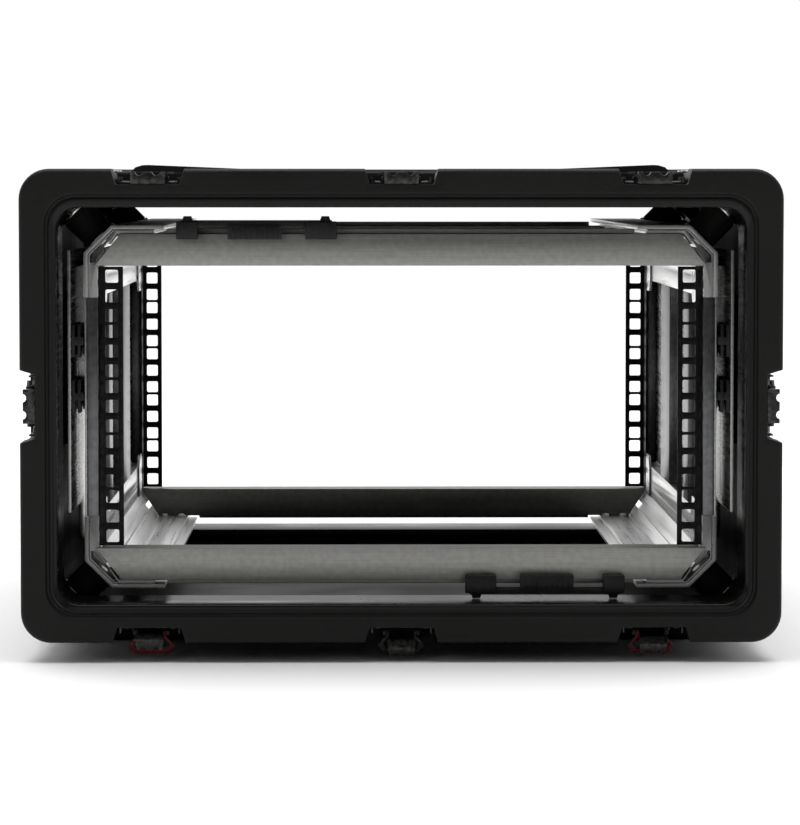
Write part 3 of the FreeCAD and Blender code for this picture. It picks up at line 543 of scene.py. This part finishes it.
latch_steel = coated_material("black_latch_steel", (0.0035, 0.0034, 0.0032), 0.3, 0.2,
                              (0.5, 0.49, 0.47), 0.03, gloss=0.3)
bail_black = coated_material("dark_bail_steel", (0.012, 0.0075, 0.0068), 0.33, 0.25,
                             (0.35, 0.33, 0.31), 0.06)
bail_red = coated_material("dark_red_bail", (0.13, 0.004, 0.012), 0.36, 0.15, (0.4, 0.3, 0.3), 0.06)
bright_zinc = metal_material("bright_zinc", (0.55, 0.55, 0.54), (0.8, 0.8, 0.79), 0.16, 0.32,
                             (1.0, 1.0, 1.0), 260.0, bump=0.04)
spring_wire = metal_material("spring_wire", (0.2, 0.2, 0.2), (0.36, 0.36, 0.37), 0.25, 0.4,
                             (1.0, 1.0, 1.0), 260.0, bump=0.04)
nylon_black = rubber_material("black_nylon", (0.006, 0.006, 0.006), 0.4, 600.0)
mount_rubber = rubber_material("mount_rubber", (0.008, 0.008, 0.0077), 0.62, 300.0)
grip_rubber = rubber_material("grip_rubber", (0.008, 0.008, 0.0077), 0.55, 900.0)


# ---- case shell ----
def band_step(y, before, after):
    """Eased step of the outside from one inset to another, as (y, inset)."""
    ease = 1.4 * MM
    return [(y + shift * ease, before + (after - before) * share)
            for shift, share in ((-1.0, 0.0), (-0.3, 0.2), (0.3, 0.8), (1.0, 1.0))]


def outer_profile():
    """Half outline of the shell's outside, from the middle to the front face: (y, inset)."""
    points = []
    for place, half in band_places:
        if place > 0.0:
            points += band_step(place - half, body_inset, 0.0)
        points += band_step(place + half, 0.0, body_inset)
    points += band_step(half_depth - flange_depth, body_inset, 0.0)
    nose = 4.0 * MM
    return points + [(half_depth - nose + y, nose - x)
                     for x, y in arc_points((0, 0), nose, 0, 90, 6)]


def lip_profile():
    """Outline from the front face down the stepped lip into the collar: (y, inset in X, in Z)."""
    drop = lip_top - lip_side
    points = [(half_depth, face_width - 2.2 * MM, 0.0), (half_depth, face_width - 1.2 * MM, 0.0)]
    for x, y in arc_points((0, 0), 1.2 * MM, 90, 0, 4)[1:]:
        points.append((half_depth - 1.2 * MM + y, face_width - 1.2 * MM + x, 0.0))
    for x, y in arc_points((0, 0), 1.2 * MM, 180, 270, 4)[1:]:
        points.append((half_depth - 1.8 * MM + y, face_width + 1.2 * MM + x, 0.0))
    bead = 1.6 * MM
    points.append((half_depth - 3.0 * MM, face_width + 2.6 * MM, 0.0))
    for step in range(1, 6):
        turn = math.pi * step / 6
        points.append((half_depth - 3.0 * MM + 1.3 * MM * math.sin(turn),
                       face_width + 2.6 * MM + bead * (1.0 - math.cos(turn)), drop * step / 6))
    for x, y in arc_points((0, 0), 2.0 * MM, 90, 0, 4):
        points.append((half_depth - 5.2 * MM + y, lip_side - 2.0 * MM + x, drop))
    return points


def shell_loops():
    """All loops of the front half, from the middle outside, round the rim, to the middle inside."""
    loops = []
    for y, inset in outer_profile():
        loops.append((y, inset, inset, rim_radius - inset))
    for y, inset_x, extra in lip_profile():
        share = (inset_x - face_width) / (lip_side - face_width)
        radius = rim_radius - 6.0 * MM * max(0.0, share)
        loops.append((y, inset_x, inset_x + extra, radius))
    back = half_depth - collar_depth
    radius = 18.0 * MM
    loops.append((back + 1.5 * MM, lip_side, lip_top, radius))
    loops.append((back + 0.4 * MM, lip_side - 0.5 * MM, lip_top - 0.5 * MM, radius))
    loops.append((back, lip_side - 1.5 * MM, lip_top - 1.5 * MM, radius + 1.0 * MM))
    loops.append((back, lip_side - 5.5 * MM, lip_top - 5.5 * MM, radius + 5.0 * MM))
    loops.append((back + 1.0 * MM, lip_side - 6.0 * MM, lip_top - 6.0 * MM, radius + 6.0 * MM))
    inner = body_inset + wall
    front = half_depth - 8.0 * MM
    loops.append((front, lip_side - 6.0 * MM, lip_top - 6.0 * MM, radius + 6.0 * MM))
    loops.append((front, inner, inner, radius))
    return loops


def moulded_body():
    """Closed ring of the shell without its recesses, feet and pockets."""
    front = shell_loops()
    path = [(-y, x, z, r) for y, x, z, r in reversed(front)]
    bm = bmesh.new()
    loops = []
    for y, inset_x, inset_z, radius in path + front:
        loops.append(rounded_loop(half_width - inset_x, half_height - inset_z, radius, y))
    skin_loops(bm, loops, closed=True)
    bmesh.ops.remove_doubles(bm, verts=bm.verts, dist=1e-6)
    bmesh.ops.recalc_face_normals(bm, faces=bm.faces)
    return object_from_bmesh("case_body", bm)


def add_prism(bm, outline, y_low, y_high):
    """Add a closed prism with an outline in X and Z."""
    near, far = [[bm.verts.new((x, y, z)) for x, z in outline] for y in (y_low, y_high)]
    bm.faces.new(near)
    bm.faces.new(far[::-1])
    for index in range(len(outline)):
        after = (index + 1) % len(outline)
        bm.faces.new((near[after], near[index], far[index], far[after]))
    return near + far


def add_block(bm, middle, size):
    made = bmesh.ops.create_cube(bm, size=1.0)["verts"]
    bmesh.ops.scale(bm, vec=size, verts=made)
    bmesh.ops.translate(bm, vec=middle, verts=made)
    return made


def latch_seats(back, sink):
    """Frames of all latch places, a distance back from the face and sunk under the outside.

    In each, Y runs back from the face and Z points out of the case."""
    seats = []
    for across in (-latch_spread, 0.0, latch_spread):
        seats += [(0.0, across, half_height), (math.pi, across, half_height)]
    seats += [(math.pi / 2, 0.0, half_width), (-math.pi / 2, 0.0, half_width)]
    for turn, across, reach in seats:
        for end in (0.0, math.pi):
            yield (Matrix.Rotation(end, 4, "Z") @ Matrix.Translation((0, 0, rim_z))
                   @ Matrix.Rotation(turn, 4, "Y")
                   @ Matrix.Translation((across, -half_depth + back, reach - sink)))


def recess_outline():
    """Section of a latch recess with round bottom corners, mouth beyond the rim's outside."""
    corner = 2.0 * MM
    corner_x = recess_floor - 1.2 * MM
    corner_z = -recess_depth + corner
    mouth = recess_mouth + 0.3 * MM
    return (arc_points((-corner_x, corner_z), corner, 190, 270, 4)
            + arc_points((corner_x, corner_z), corner, 270, 350, 4)
            + [(mouth, 1.0 * MM), (-mouth, 1.0 * MM)])


def shell_cutters():
    """Latch recesses and handle pockets, all apart from each other."""
    bm = bmesh.new()
    for seat in latch_seats(0.0, 0.0):
        made = add_prism(bm, recess_outline(), -1.0 * MM, recess_length)
        bmesh.ops.transform(bm, matrix=seat, verts=made)
    for side in (-1, 1):
        for end in (-1, 1):
            low = Vector((half_width - body_inset - pocket_depth,
                          end * handle_y - pocket_half_length, handle_z - pocket_half_height))
            high = Vector((half_width + 10 * MM, end * handle_y + pocket_half_length,
                           handle_z + pocket_half_height))
            middle = (low + high) / 2
            made = add_block(bm, Vector((side * middle.x, middle.y, middle.z)), high - low)
            upright = [edge for edge in dict.fromkeys(e for v in made for e in v.link_edges)
                       if abs((edge.verts[0].co - edge.verts[1].co).normalized().x) > 0.9]
            bmesh.ops.bevel(bm, geom=upright, offset=8 * MM, segments=5, affect="EDGES",
                            profile=0.5)
    bmesh.ops.recalc_face_normals(bm, faces=bm.faces)
    return object_from_bmesh("shell_cutters", bm)


def spindle_cutters():
    """Round pockets for the latch spindles in the recess floors."""
    bm = bmesh.new()
    for seat in latch_seats(spindle_y, recess_depth + 0.9 * MM):
        bmesh.ops.create_cone(bm, cap_ends=True, segments=24, radius1=7 * MM, radius2=7 * MM,
                              depth=4.2 * MM, matrix=seat)
    bmesh.ops.recalc_face_normals(bm, faces=bm.faces)
    return object_from_bmesh("spindle_cutters", bm)


def shell_additions():
    """Backing walls under the recesses and pockets, the feet and the stacking lugs."""
    bm = bmesh.new()
    half = recess_mouth + wall
    low = -recess_depth - wall
    outline = [(-half, low), (half, low), (half, -5.0 * MM), (-half, -5.0 * MM)]
    for seat in latch_seats(0.0, 0.0):
        made = add_prism(bm, outline, 5.0 * MM, recess_length + wall)
        bmesh.ops.transform(bm, matrix=seat, verts=made)
    backing = Vector((pocket_depth, 2 * (pocket_half_length + wall),
                      2 * (pocket_half_height + wall)))
    for side in (-1, 1):
        for end in (-1, 1):
            x = side * (half_width - body_inset - wall + 1.5 * MM - pocket_depth / 2)
            add_block(bm, Vector((x, end * handle_y, handle_z)), backing)
            add_foot(bm, side, end)
            add_lug(bm, side, end)
    bmesh.ops.recalc_face_normals(bm, faces=bm.faces)
    return object_from_bmesh("shell_additions", bm)


def add_foot(bm, side, end):
    """Foot that narrows to where it stands, with a round toe."""
    base = rim_z - half_height + body_inset + 2.0 * MM
    levels = ((base, foot_half), (5.0 * MM, foot_half), (1.4 * MM, foot_half - 3.4 * MM),
              (0.0, foot_half - foot_taper))
    loops = []
    for z, half in levels:
        loop = []
        for sx, sy, start in ((1, 1, 0), (-1, 1, 90), (-1, -1, 180), (1, -1, 270)):
            centre = (sx * (half - foot_radius), sy * (half - foot_radius))
            for x, y in arc_points(centre, foot_radius, start, start + 90, 4):
                loop.append(Vector((side * foot_x + x, end * foot_y + y, z)))
        loops.append(loop)
    skin_loops(bm, loops, closed=False)


def add_lug(bm, side, end):
    """Sloping stacking lug on the roof."""
    roof = rim_z + half_height - body_inset
    outline = [(219.0, -2.0), (219.0, 0.0), (214.0, 4.6), (208.5, 6.2), (204.0, 6.4),
               (120.0, 3.0), (110.0, 0.0), (110.0, -2.0)]
    points = [(side * x * MM, roof + z * MM) for x, z in outline]
    if side < 0:
        points.reverse()
    start = half_depth - 85.0 * MM
    add_prism(bm, points, *sorted((end * start, end * (start - lug_depth))))


def boolean(piece, other, operation):
    """Join the other object to the piece or cut it away, and remove the other."""
    modifier = piece.modifiers.new(operation, "BOOLEAN")
    modifier.operation = operation
    modifier.solver = "EXACT"
    modifier.object = other
    apply_modifiers(piece)
    bpy.data.objects.remove(other)


def case_shell():
    shell = moulded_body()
    boolean(shell, shell_additions(), "UNION")
    boolean(shell, shell_cutters(), "DIFFERENCE")
    boolean(shell, spindle_cutters(), "DIFFERENCE")
    bm = bmesh.new()
    bm.from_mesh(shell.data)
    bmesh.ops.remove_doubles(bm, verts=bm.verts, dist=1e-6)
    bm.to_mesh(shell.data)
    bm.free()
    ease_edges(shell, 1.1 * MM, 2, 38.0)
    shell.name = "moulded_shell"
    set_material(shell, shell_black)
    finish_piece(shell, "case", "moulded_shell", "case_shell")


case_shell()


# ---- fasteners ----
def shank_ends(node):
    """For each separate fastener of a node: places of its heads, pointing outwards."""
    bm = bmesh.new()
    bm.from_mesh(frame["nodes"][node].data)
    bmesh.ops.remove_doubles(bm, verts=bm.verts, dist=1e-6)
    places = []
    for group in loose_parts(bm):
        points = np.array([v.co for v in group])
        low = points.min(0)
        high = points.max(0)
        size = high - low
        axis = int(np.argmax([min(abs(size[i] - size[j]) for j in range(3) if j != i)
                              for i in range(3)]))
        middle = (low + high) / 2
        others = [i for i in range(3) if i != axis]
        reach = np.linalg.norm(points[:, others] - middle[others], axis=1)
        widest = reach.max()
        for sign, edge in ((-1.0, low[axis]), (1.0, high[axis])):
            at_end = np.abs(points[:, axis] - edge) < 1e-5
            if reach[at_end].max() > 0.8 * widest:
                place = middle.copy()
                place[axis] = edge
                facing = np.zeros(3)
                facing[axis] = sign
                places.append((place, facing, float(widest), float(size[axis])))
    bm.free()
    return places


def geometry_tree(name, numbers):
    """A tree that takes geometry, numbers and a finish, with its group input node."""
    tree = bpy.data.node_groups.new(name, "GeometryNodeTree")
    tree.interface.new_socket("Geometry", in_out="INPUT", socket_type="NodeSocketGeometry")
    for label, value in numbers:
        kind = "NodeSocketInt" if isinstance(value, int) else "NodeSocketFloat"
        socket = tree.interface.new_socket(label, in_out="INPUT", socket_type=kind)
        socket.default_value = value
    tree.interface.new_socket("Finish", in_out="INPUT", socket_type="NodeSocketMaterial")
    tree.interface.new_socket("Geometry", in_out="OUTPUT", socket_type="NodeSocketGeometry")
    return tree, node_in(tree, "NodeGroupInput")


def send_out(tree, source, geometry):
    """Make the instances real, give them the finish and send them out of the tree."""
    real = node_in(tree, "GeometryNodeRealizeInstances")
    tree.links.new(geometry, real.inputs["Geometry"])
    finish = node_in(tree, "GeometryNodeSetMaterial")
    tree.links.new(real.outputs["Geometry"], finish.inputs["Geometry"])
    tree.links.new(source.outputs["Finish"], finish.inputs["Material"])
    result = node_in(tree, "NodeGroupOutput")
    tree.links.new(finish.outputs["Geometry"], result.inputs["Geometry"])


def fastener_tree(name, sides, levels):
    """Heads stood on points along each point's facing: stacked rings and a stem.

    Each level is the bottom radius, the top radius and the start, as shares of the head."""
    tree, source = geometry_tree(name, (("Head radius", 0.003), ("Head height", 0.0015),
                                        ("Stem radius", 0.002), ("Stem length", 0.004)))
    link = tree.links.new

    def cone(bottom, top, depth, offset, count):
        made = node_in(tree, "GeometryNodeMeshCone")
        made.inputs["Vertices"].default_value = count
        link(bottom, made.inputs["Radius Bottom"])
        link(top, made.inputs["Radius Top"])
        link(depth, made.inputs["Depth"])
        shift = node_in(tree, "ShaderNodeCombineXYZ")
        link(offset, shift.inputs["Z"])
        moved = node_in(tree, "GeometryNodeTransform")
        link(made.outputs["Mesh"], moved.inputs["Geometry"])
        link(shift.outputs[0], moved.inputs["Translation"])
        link(moved.outputs["Geometry"], join.inputs["Geometry"])

    def scaled(output, factor):
        return math_node(tree, "MULTIPLY", output, factor)

    radius = source.outputs["Head radius"]
    height = source.outputs["Head height"]
    stem = source.outputs["Stem radius"]
    length = source.outputs["Stem length"]
    join = node_in(tree, "GeometryNodeJoinGeometry")
    tops = [start for _, _, start in levels[1:]] + [1.0]
    for (bottom, top, start), stop in zip(levels, tops):
        cone(scaled(radius, bottom), scaled(radius, top), scaled(height, stop - start),
             scaled(height, start - 1.0), sides)
    sunk = math_node(tree, "SUBTRACT", scaled(length, -1.0), height)
    cone(stem, stem, length, sunk, 12)

    facing = node_in(tree, "GeometryNodeInputNamedAttribute", data_type="FLOAT_VECTOR")
    facing.inputs["Name"].default_value = "facing"
    turned = node_in(tree, "FunctionNodeAlignRotationToVector", axis="Z")
    link(facing.outputs["Attribute"], turned.inputs["Vector"])
    stood = node_in(tree, "GeometryNodeInstanceOnPoints")
    link(source.outputs["Geometry"], stood.inputs["Points"])
    link(join.outputs["Geometry"], stood.inputs["Instance"])
    link(turned.outputs["Rotation"], stood.inputs["Rotation"])
    send_out(tree, source, stood.outputs["Instances"])
    return tree


def run_tree(piece, tree, values):
    """Set a tree's inputs by their identifiers, then turn its result into a plain mesh."""
    modifier = piece.modifiers.new(tree.name, "NODES")
    modifier.node_group = tree
    identifiers = {item.name: item.identifier for item in tree.interface.items_tree
                   if item.in_out == "INPUT"}
    for label, value in values.items():
        modifier[identifiers[label]] = value
    return apply_modifiers(piece)


def heads_from_node(name, node, tree, material, slot, height, stem_radius, stem_share):
    """Detailed fastener heads in place of a node of plain ones."""
    places = shank_ends(node)
    mesh = bpy.data.meshes.new(name)
    mesh.from_pydata([tuple(p[0]) for p in places], [], [])
    facing = mesh.attributes.new("facing", "FLOAT_VECTOR", "POINT")
    facing.data.foreach_set("vector", np.array([p[1] for p in places], np.float32).ravel())
    piece = new_object(name, mesh)
    longest = max(p[3] for p in places)
    run_tree(piece, tree, {"Head radius": places[0][2], "Head height": height,
                           "Stem radius": stem_radius, "Stem length": longest * stem_share,
                           "Finish": material})
    smooth_by_angle(piece, 30.0)
    finish_piece(piece, body_of_node(node), slot, node)


rivet_tree = fastener_tree("domed_rivets", 20,
                           ((1.0, 0.96, 0.0), (0.96, 0.82, 0.34), (0.82, 0.5, 0.68)))
hex_tree = fastener_tree("hexagon_heads", 6,
                         ((1.0, 1.0, 0.0), (1.0, 0.9, 0.5), (0.9, 0.86, 0.9)))
heads_from_node("latch_rivet_heads", "latch_rivets", rivet_tree, latch_steel, "latch_steel",
                1.5 * MM, 2.0 * MM, 0.5)
heads_from_node("cage_bolt_heads", "cage_bolts", hex_tree, bright_zinc, "zinc_steel",
                3.0 * MM, 2.5 * MM, 0.3)


# ---- finer copies of the plain metalwork ----
cross_bars = ["cross_bar_front_top", "cross_bar_front_bottom", "cross_bar_rear_top",
              "cross_bar_rear_bottom"]
handle_names = ["right_front", "right_rear", "left_front", "left_rear"]
seat_names = ["top_left", "top_middle", "top_right", "bottom_left", "bottom_middle",
              "bottom_right", "side_left", "side_right"]
rack_rails = ["rack_rail_" + place for place in handle_names]
plain_copies = (
    (cross_bars, 0.45, brushed_aluminium, "brushed_aluminium"),
    (["runners", "gusset_plates"], 0.3, polished_aluminium, "polished_aluminium"),
    (["frame_sides", "side_panels"], 0.3, satin_sheet, "polished_aluminium"),
    (["frame_posts"], 0.4, bright_post, "polished_aluminium"),
    (["side_posts"], 0.5, black_anodised, "black_aluminium"),
    (rack_rails, 0.3, black_steel, "black_steel"),
    (["shock_brackets", "handle_plates"], 0.5, black_steel, "black_steel"),
    (["lock_guides"], 0.6, nylon_black, "black_nylon"),
    (["lock_bar_top", "lock_bar_bottom"], 0.4, nylon_black, "black_nylon"),
    (["mount_hardware"], 0.5, bright_zinc, "zinc_steel"),
    (["handle_screws"], 0.4, bright_zinc, "zinc_steel"),
    (["latch_dishes"], 0.3, latch_steel, "latch_steel"),
    (["latch_claws_rear"], 0.7, latch_steel, "latch_steel"),
)
for nodes, width, material, slot in plain_copies:
    for node in nodes:
        eased_node(node, width * MM, material, slot)
eased_node("shock_isolators", 1.5 * MM, mount_rubber, "isolator_rubber", segments=3)
set_material(frame["nodes"]["handle_springs"], spring_wire)


def add_box(bm, low, high):
    add_block(bm, (Vector(high) + Vector(low)) / 2, Vector(high) - Vector(low))


def hollow_corner_rails():
    """The slanted leg of each corner extrusion is hollowed a short way in from both ends."""
    hollow = [(227.5, 141.0), (230.2, 141.0), (249.3, 121.9), (249.3, 116.0), (244.3, 116.0),
              (244.3, 117.2)]
    bm = bmesh.new()
    for side in (-1, 1):
        for level in (-1, 1):
            outline = [(side * x * MM, cage_z + level * z * MM) for x, z in hollow]
            for end in (-1, 1):
                reach = (end * (rail_high.y + 1.0 * MM), end * (rail_high.y - hollow_depth))
                add_prism(bm, outline, *sorted(reach))
    bmesh.ops.recalc_face_normals(bm, faces=bm.faces)
    cutter = object_from_bmesh("corner_hollows", bm)
    rails = object_from_bmesh("corner_extrusions", merged_copy("corner_rails"))
    boolean(rails, cutter, "DIFFERENCE")
    ease_and_finish(rails, 0.3 * MM, polished_aluminium, "cage", "polished_aluminium",
                    "corner_rails")


def notched_glide_blocks():
    """Each glide block is waisted like an H, with a short rib towards the cage."""
    blocks = merged_copy("glide_blocks")
    bm = bmesh.new()
    for group in loose_parts(blocks):
        low, high = extent(group)
        side = 1 if low[0] > 0 else -1
        near = min(abs(low[0]), abs(high[0]))
        middle = (low[2] + high[2]) / 2
        for start, stop in ((near - 1.0 * MM, near + 2.2 * MM), (near + 4.4 * MM, near + 6.6 * MM)):
            x_low, x_high = sorted((side * start, side * stop))
            add_box(bm, (x_low, low[1] - 1.0 * MM, middle + 3.2 * MM),
                    (x_high, high[1] + 1.0 * MM, high[2] + 1.0 * MM))
            add_box(bm, (x_low, low[1] - 1.0 * MM, low[2] - 1.0 * MM),
                    (x_high, high[1] + 1.0 * MM, middle - 3.2 * MM))
    bmesh.ops.recalc_face_normals(bm, faces=bm.faces)
    cutter = object_from_bmesh("glide_notches", bm)
    piece = object_from_bmesh("waisted_glide_blocks", blocks)
    boolean(piece, cutter, "DIFFERENCE")
    ease_and_finish(piece, 0.4 * MM, nylon_black, "case", "black_nylon", "glide_blocks")


def twist_handle(end, seat):
    """Hub and loop of a twist handle, as two pieces so that the loop has its own colour."""
    node = "latch_handle_" + end + "_" + seat
    colour = bail_red if seat in ("bottom_left", "bottom_right") else bail_black
    for label, material, width in (("hub", latch_steel, 0.8), ("loop", colour, 0.6)):
        bm = merged_copy(node)
        thickest_first = sorted(loose_parts(bm), key=thickness, reverse=True)
        dropped = thickest_first[1:] if label == "hub" else thickest_first[:1]
        bmesh.ops.delete(bm, geom=[v for group in dropped for v in group], context="VERTS")
        piece = object_from_bmesh("twist_" + label + "_" + end + "_" + seat, bm)
        ease_and_finish(piece, width * MM, material, "twist_" + end + "_" + seat, "latch_black",
                        *([node] if label == "hub" else []))


def front_claw(seat):
    """Claw block; the ones under the case narrow towards their tips."""
    node = "latch_claw_front_" + seat
    bm = merged_copy(node)
    if seat.startswith("bottom"):
        low, high = extent(bm.verts)
        middle = (low[0] + high[0]) / 2
        for v in bm.verts:
            share = (v.co.z - low[2]) / (high[2] - low[2])
            v.co.x = middle + (v.co.x - middle) * (0.72 + 0.16 * min(1.0, share * 1.4))
    piece = object_from_bmesh("claw_" + seat, bm)
    ease_and_finish(piece, 0.7 * MM, latch_steel, "claw_front_" + seat, "latch_steel", node)


def coil(bm, centre, radius, low, high, turns, wire):
    """Helix of round wire about an upright line."""
    steps = turns * 18
    loops = []
    for step in range(steps + 1):
        share = step / steps
        angle = 2.0 * math.pi * turns * share
        out = Vector((math.cos(angle), math.sin(angle), 0.0))
        level = low + wire + (high - low - 2.0 * wire) * share
        middle = Vector((centre[0], centre[1], level)) + out * radius
        loops.append([middle + out * (wire * math.cos(turn))
                      + Vector((0.0, 0.0, wire * math.sin(turn)))
                      for turn in (math.pi * corner / 3 for corner in range(6))])
    skin_loops(bm, loops, closed=False)


def lock_coils(level):
    """Wound springs under a lock bar."""
    node = "lock_spring_" + level
    source = merged_copy(node)
    bm = bmesh.new()
    wire = 0.4 * MM
    for group in loose_parts(source):
        low, high = extent(group)
        coil(bm, (low + high) / 2, (high[0] - low[0]) / 2 - wire, low[2], high[2], 5, wire)
    source.free()
    bmesh.ops.recalc_face_normals(bm, faces=bm.faces)
    piece = object_from_bmesh("lock_coils_" + level, bm)
    smooth_by_angle(piece, 60.0)
    set_material(piece, spring_wire)
    finish_piece(piece, "cage", "spring_steel", node)
    low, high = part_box(node)
    fixed = low if level == "top" else high
    tuple(fixed)
    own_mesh(piece)


hollow_corner_rails()
notched_glide_blocks()
lock_coils("top")
lock_coils("bottom")
for seat in seat_names:
    front_claw(seat)
    for end in ("front", "rear"):
        twist_handle(end, seat)


# ---- carry handles ----
def grip_tree():
    """Ribs along a line, with a plain core under them."""
    tree, source = geometry_tree("ribbed_grip", (("Length", 0.08), ("Ribs", 16),
                                                 ("Rib radius", 0.0064), ("Core radius", 0.0057),
                                                 ("Rib width", 0.0026)))
    link = tree.links.new
    line = node_in(tree, "GeometryNodeMeshLine", mode="END_POINTS")
    half = math_node(tree, "MULTIPLY", source.outputs["Length"], 0.46)
    for sign, label in ((-1.0, "Start Location"), (1.0, "Offset")):
        place = node_in(tree, "ShaderNodeCombineXYZ")
        link(math_node(tree, "MULTIPLY", half, sign), place.inputs["Y"])
        link(place.outputs[0], line.inputs[label])
    link(source.outputs["Ribs"], line.inputs["Count"])
    join = node_in(tree, "GeometryNodeJoinGeometry")
    barrels = (("Rib radius", "Rib width", True), ("Core radius", "Length", False))
    for radius, depth, repeat in barrels:
        barrel = node_in(tree, "GeometryNodeMeshCylinder")
        barrel.inputs["Vertices"].default_value = 28
        link(source.outputs[radius], barrel.inputs["Radius"])
        link(source.outputs[depth], barrel.inputs["Depth"])
        turned = node_in(tree, "GeometryNodeTransform")
        turned.inputs["Rotation"].default_value = (math.pi / 2, 0.0, 0.0)
        link(barrel.outputs["Mesh"], turned.inputs["Geometry"])
        made = turned.outputs["Geometry"]
        if repeat:
            stood = node_in(tree, "GeometryNodeInstanceOnPoints")
            link(line.outputs["Mesh"], stood.inputs["Points"])
            link(made, stood.inputs["Instance"])
            made = stood.outputs["Instances"]
        link(made, join.inputs["Geometry"])
    send_out(tree, source, join.outputs["Geometry"])
    return tree


def carry_handle(place, tree):
    """Wire bail kept as made, with a ribbed rubber grip in place of the plain one."""
    node = "carry_handle_" + place
    bail = merged_copy(node)
    plain_grip = [g for g in loose_parts(bail) if span(g, 2) < 14.0 * MM][0]
    low, high = extent(plain_grip)
    length = span(plain_grip, 1)
    radius = span(plain_grip, 2) / 2
    bmesh.ops.delete(bail, geom=plain_grip, context="VERTS")
    piece = object_from_bmesh("bail_" + place, bail)
    smooth_by_angle(piece, 35.0)
    set_material(piece, black_steel)
    finish_piece(piece, "handle_" + place, "handle_grip", node)
    grip = new_object("grip_" + place, bpy.data.meshes.new("grip_" + place))
    run_tree(grip, tree, {"Length": length, "Ribs": 17, "Rib radius": radius - 0.05 * MM,
                          "Core radius": radius - 0.9 * MM, "Rib width": 2.8 * MM,
                          "Finish": grip_rubber})
    grip.data.transform(Matrix.Translation((low + high) / 2))
    ease_edges(grip, 0.35 * MM)
    finish_piece(grip, "handle_" + place, "handle_grip")


ribs = grip_tree()
for place in handle_names:
    carry_handle(place, ribs)


# ---- stage ----
def floor():
    bm = bmesh.new()
    bmesh.ops.create_grid(bm, x_segments=8, y_segments=8, size=30.0)
    piece = object_from_bmesh("studio_floor", bm)
    material, tree, shader, place = start_material("pale_floor", (0.92, 0.92, 0.92), 0.0, 0.7)
    cloud = noise_node(tree, place, 3.0, 3.0)
    tree.links.new(mix_colour(tree, cloud, (0.915, 0.915, 0.91), (0.93, 0.93, 0.93)),
                   shader.inputs["Base Color"])
    set_material(piece, material)


def area_light(name, place, aim, size, power):
    data = bpy.data.lights.new(name, "AREA")
    data.shape = "RECTANGLE"
    data.size, data.size_y = size
    data.energy = power
    lamp = new_object(name, data)
    lamp.location = place
    lamp.rotation_euler = (Vector(aim) - Vector(place)).to_track_quat("-Z", "Y").to_euler()


def studio():
    """White surround, dimmer ahead of the case than behind it, and broad light from overhead."""
    floor()
    world = bpy.data.worlds.new("soft_white")
    scene.world = world
    world.use_nodes = True
    tree = world.node_tree
    background = tree.nodes["Background"]
    background.inputs["Color"].default_value = (1.0, 1.0, 1.0, 1.0)
    seen = node_in(tree, "ShaderNodeLightPath").outputs["Is Camera Ray"]
    along = axes_of(tree, coordinates(tree, "Generated"))["Y"]
    surround = ramp_node(tree, along, -0.5, 0.4, 0.13, 0.85)
    tree.links.new(math_node(tree, "MAXIMUM", seen, surround), background.inputs["Strength"])
    middle = (0.0, 0.0, rim_z)
    for name, place, size, power in (("front_left", (-1.8, -3.0, 1.6), (1.6, 1.6), 5.0),
                                     ("front_right", (2.0, -2.6, 1.4), (1.4, 1.8), 4.0),
                                     ("overhead", (0.0, 0.3, 3.2), (3.0, 3.0), 20.0),
                                     ("rear_left", (-2.4, 3.0, 2.0), (1.6, 1.6), 26.0),
                                     ("rear_right", (2.6, 2.4, 1.8), (1.4, 1.4), 18.0)):
        area_light(name, place, middle, size, power)
    window = bpy.data.lights.new("high_window", "SUN")
    window.energy = 2.3
    window.angle = math.radians(60.0)
    new_object("high_window", window)
    scene.view_settings.view_transform = "Standard"


def main_camera():
    """Level with the rim's top, well ahead of the opening, aimed slightly down."""
    data = bpy.data.cameras.new("main_view")
    data.lens = 168.5
    data.sensor_width = 36.0
    data.clip_end = 100.0
    camera = new_object("main_view", data)
    camera.location = (-0.034, -3.4148, rim_z + 0.174)
    pitch = math.radians(90.0 - 3.359)
    yaw = math.radians(-0.616)
    camera.rotation_euler = (pitch, 0.0, yaw)
    scene.camera = camera


studio()
main_camera()
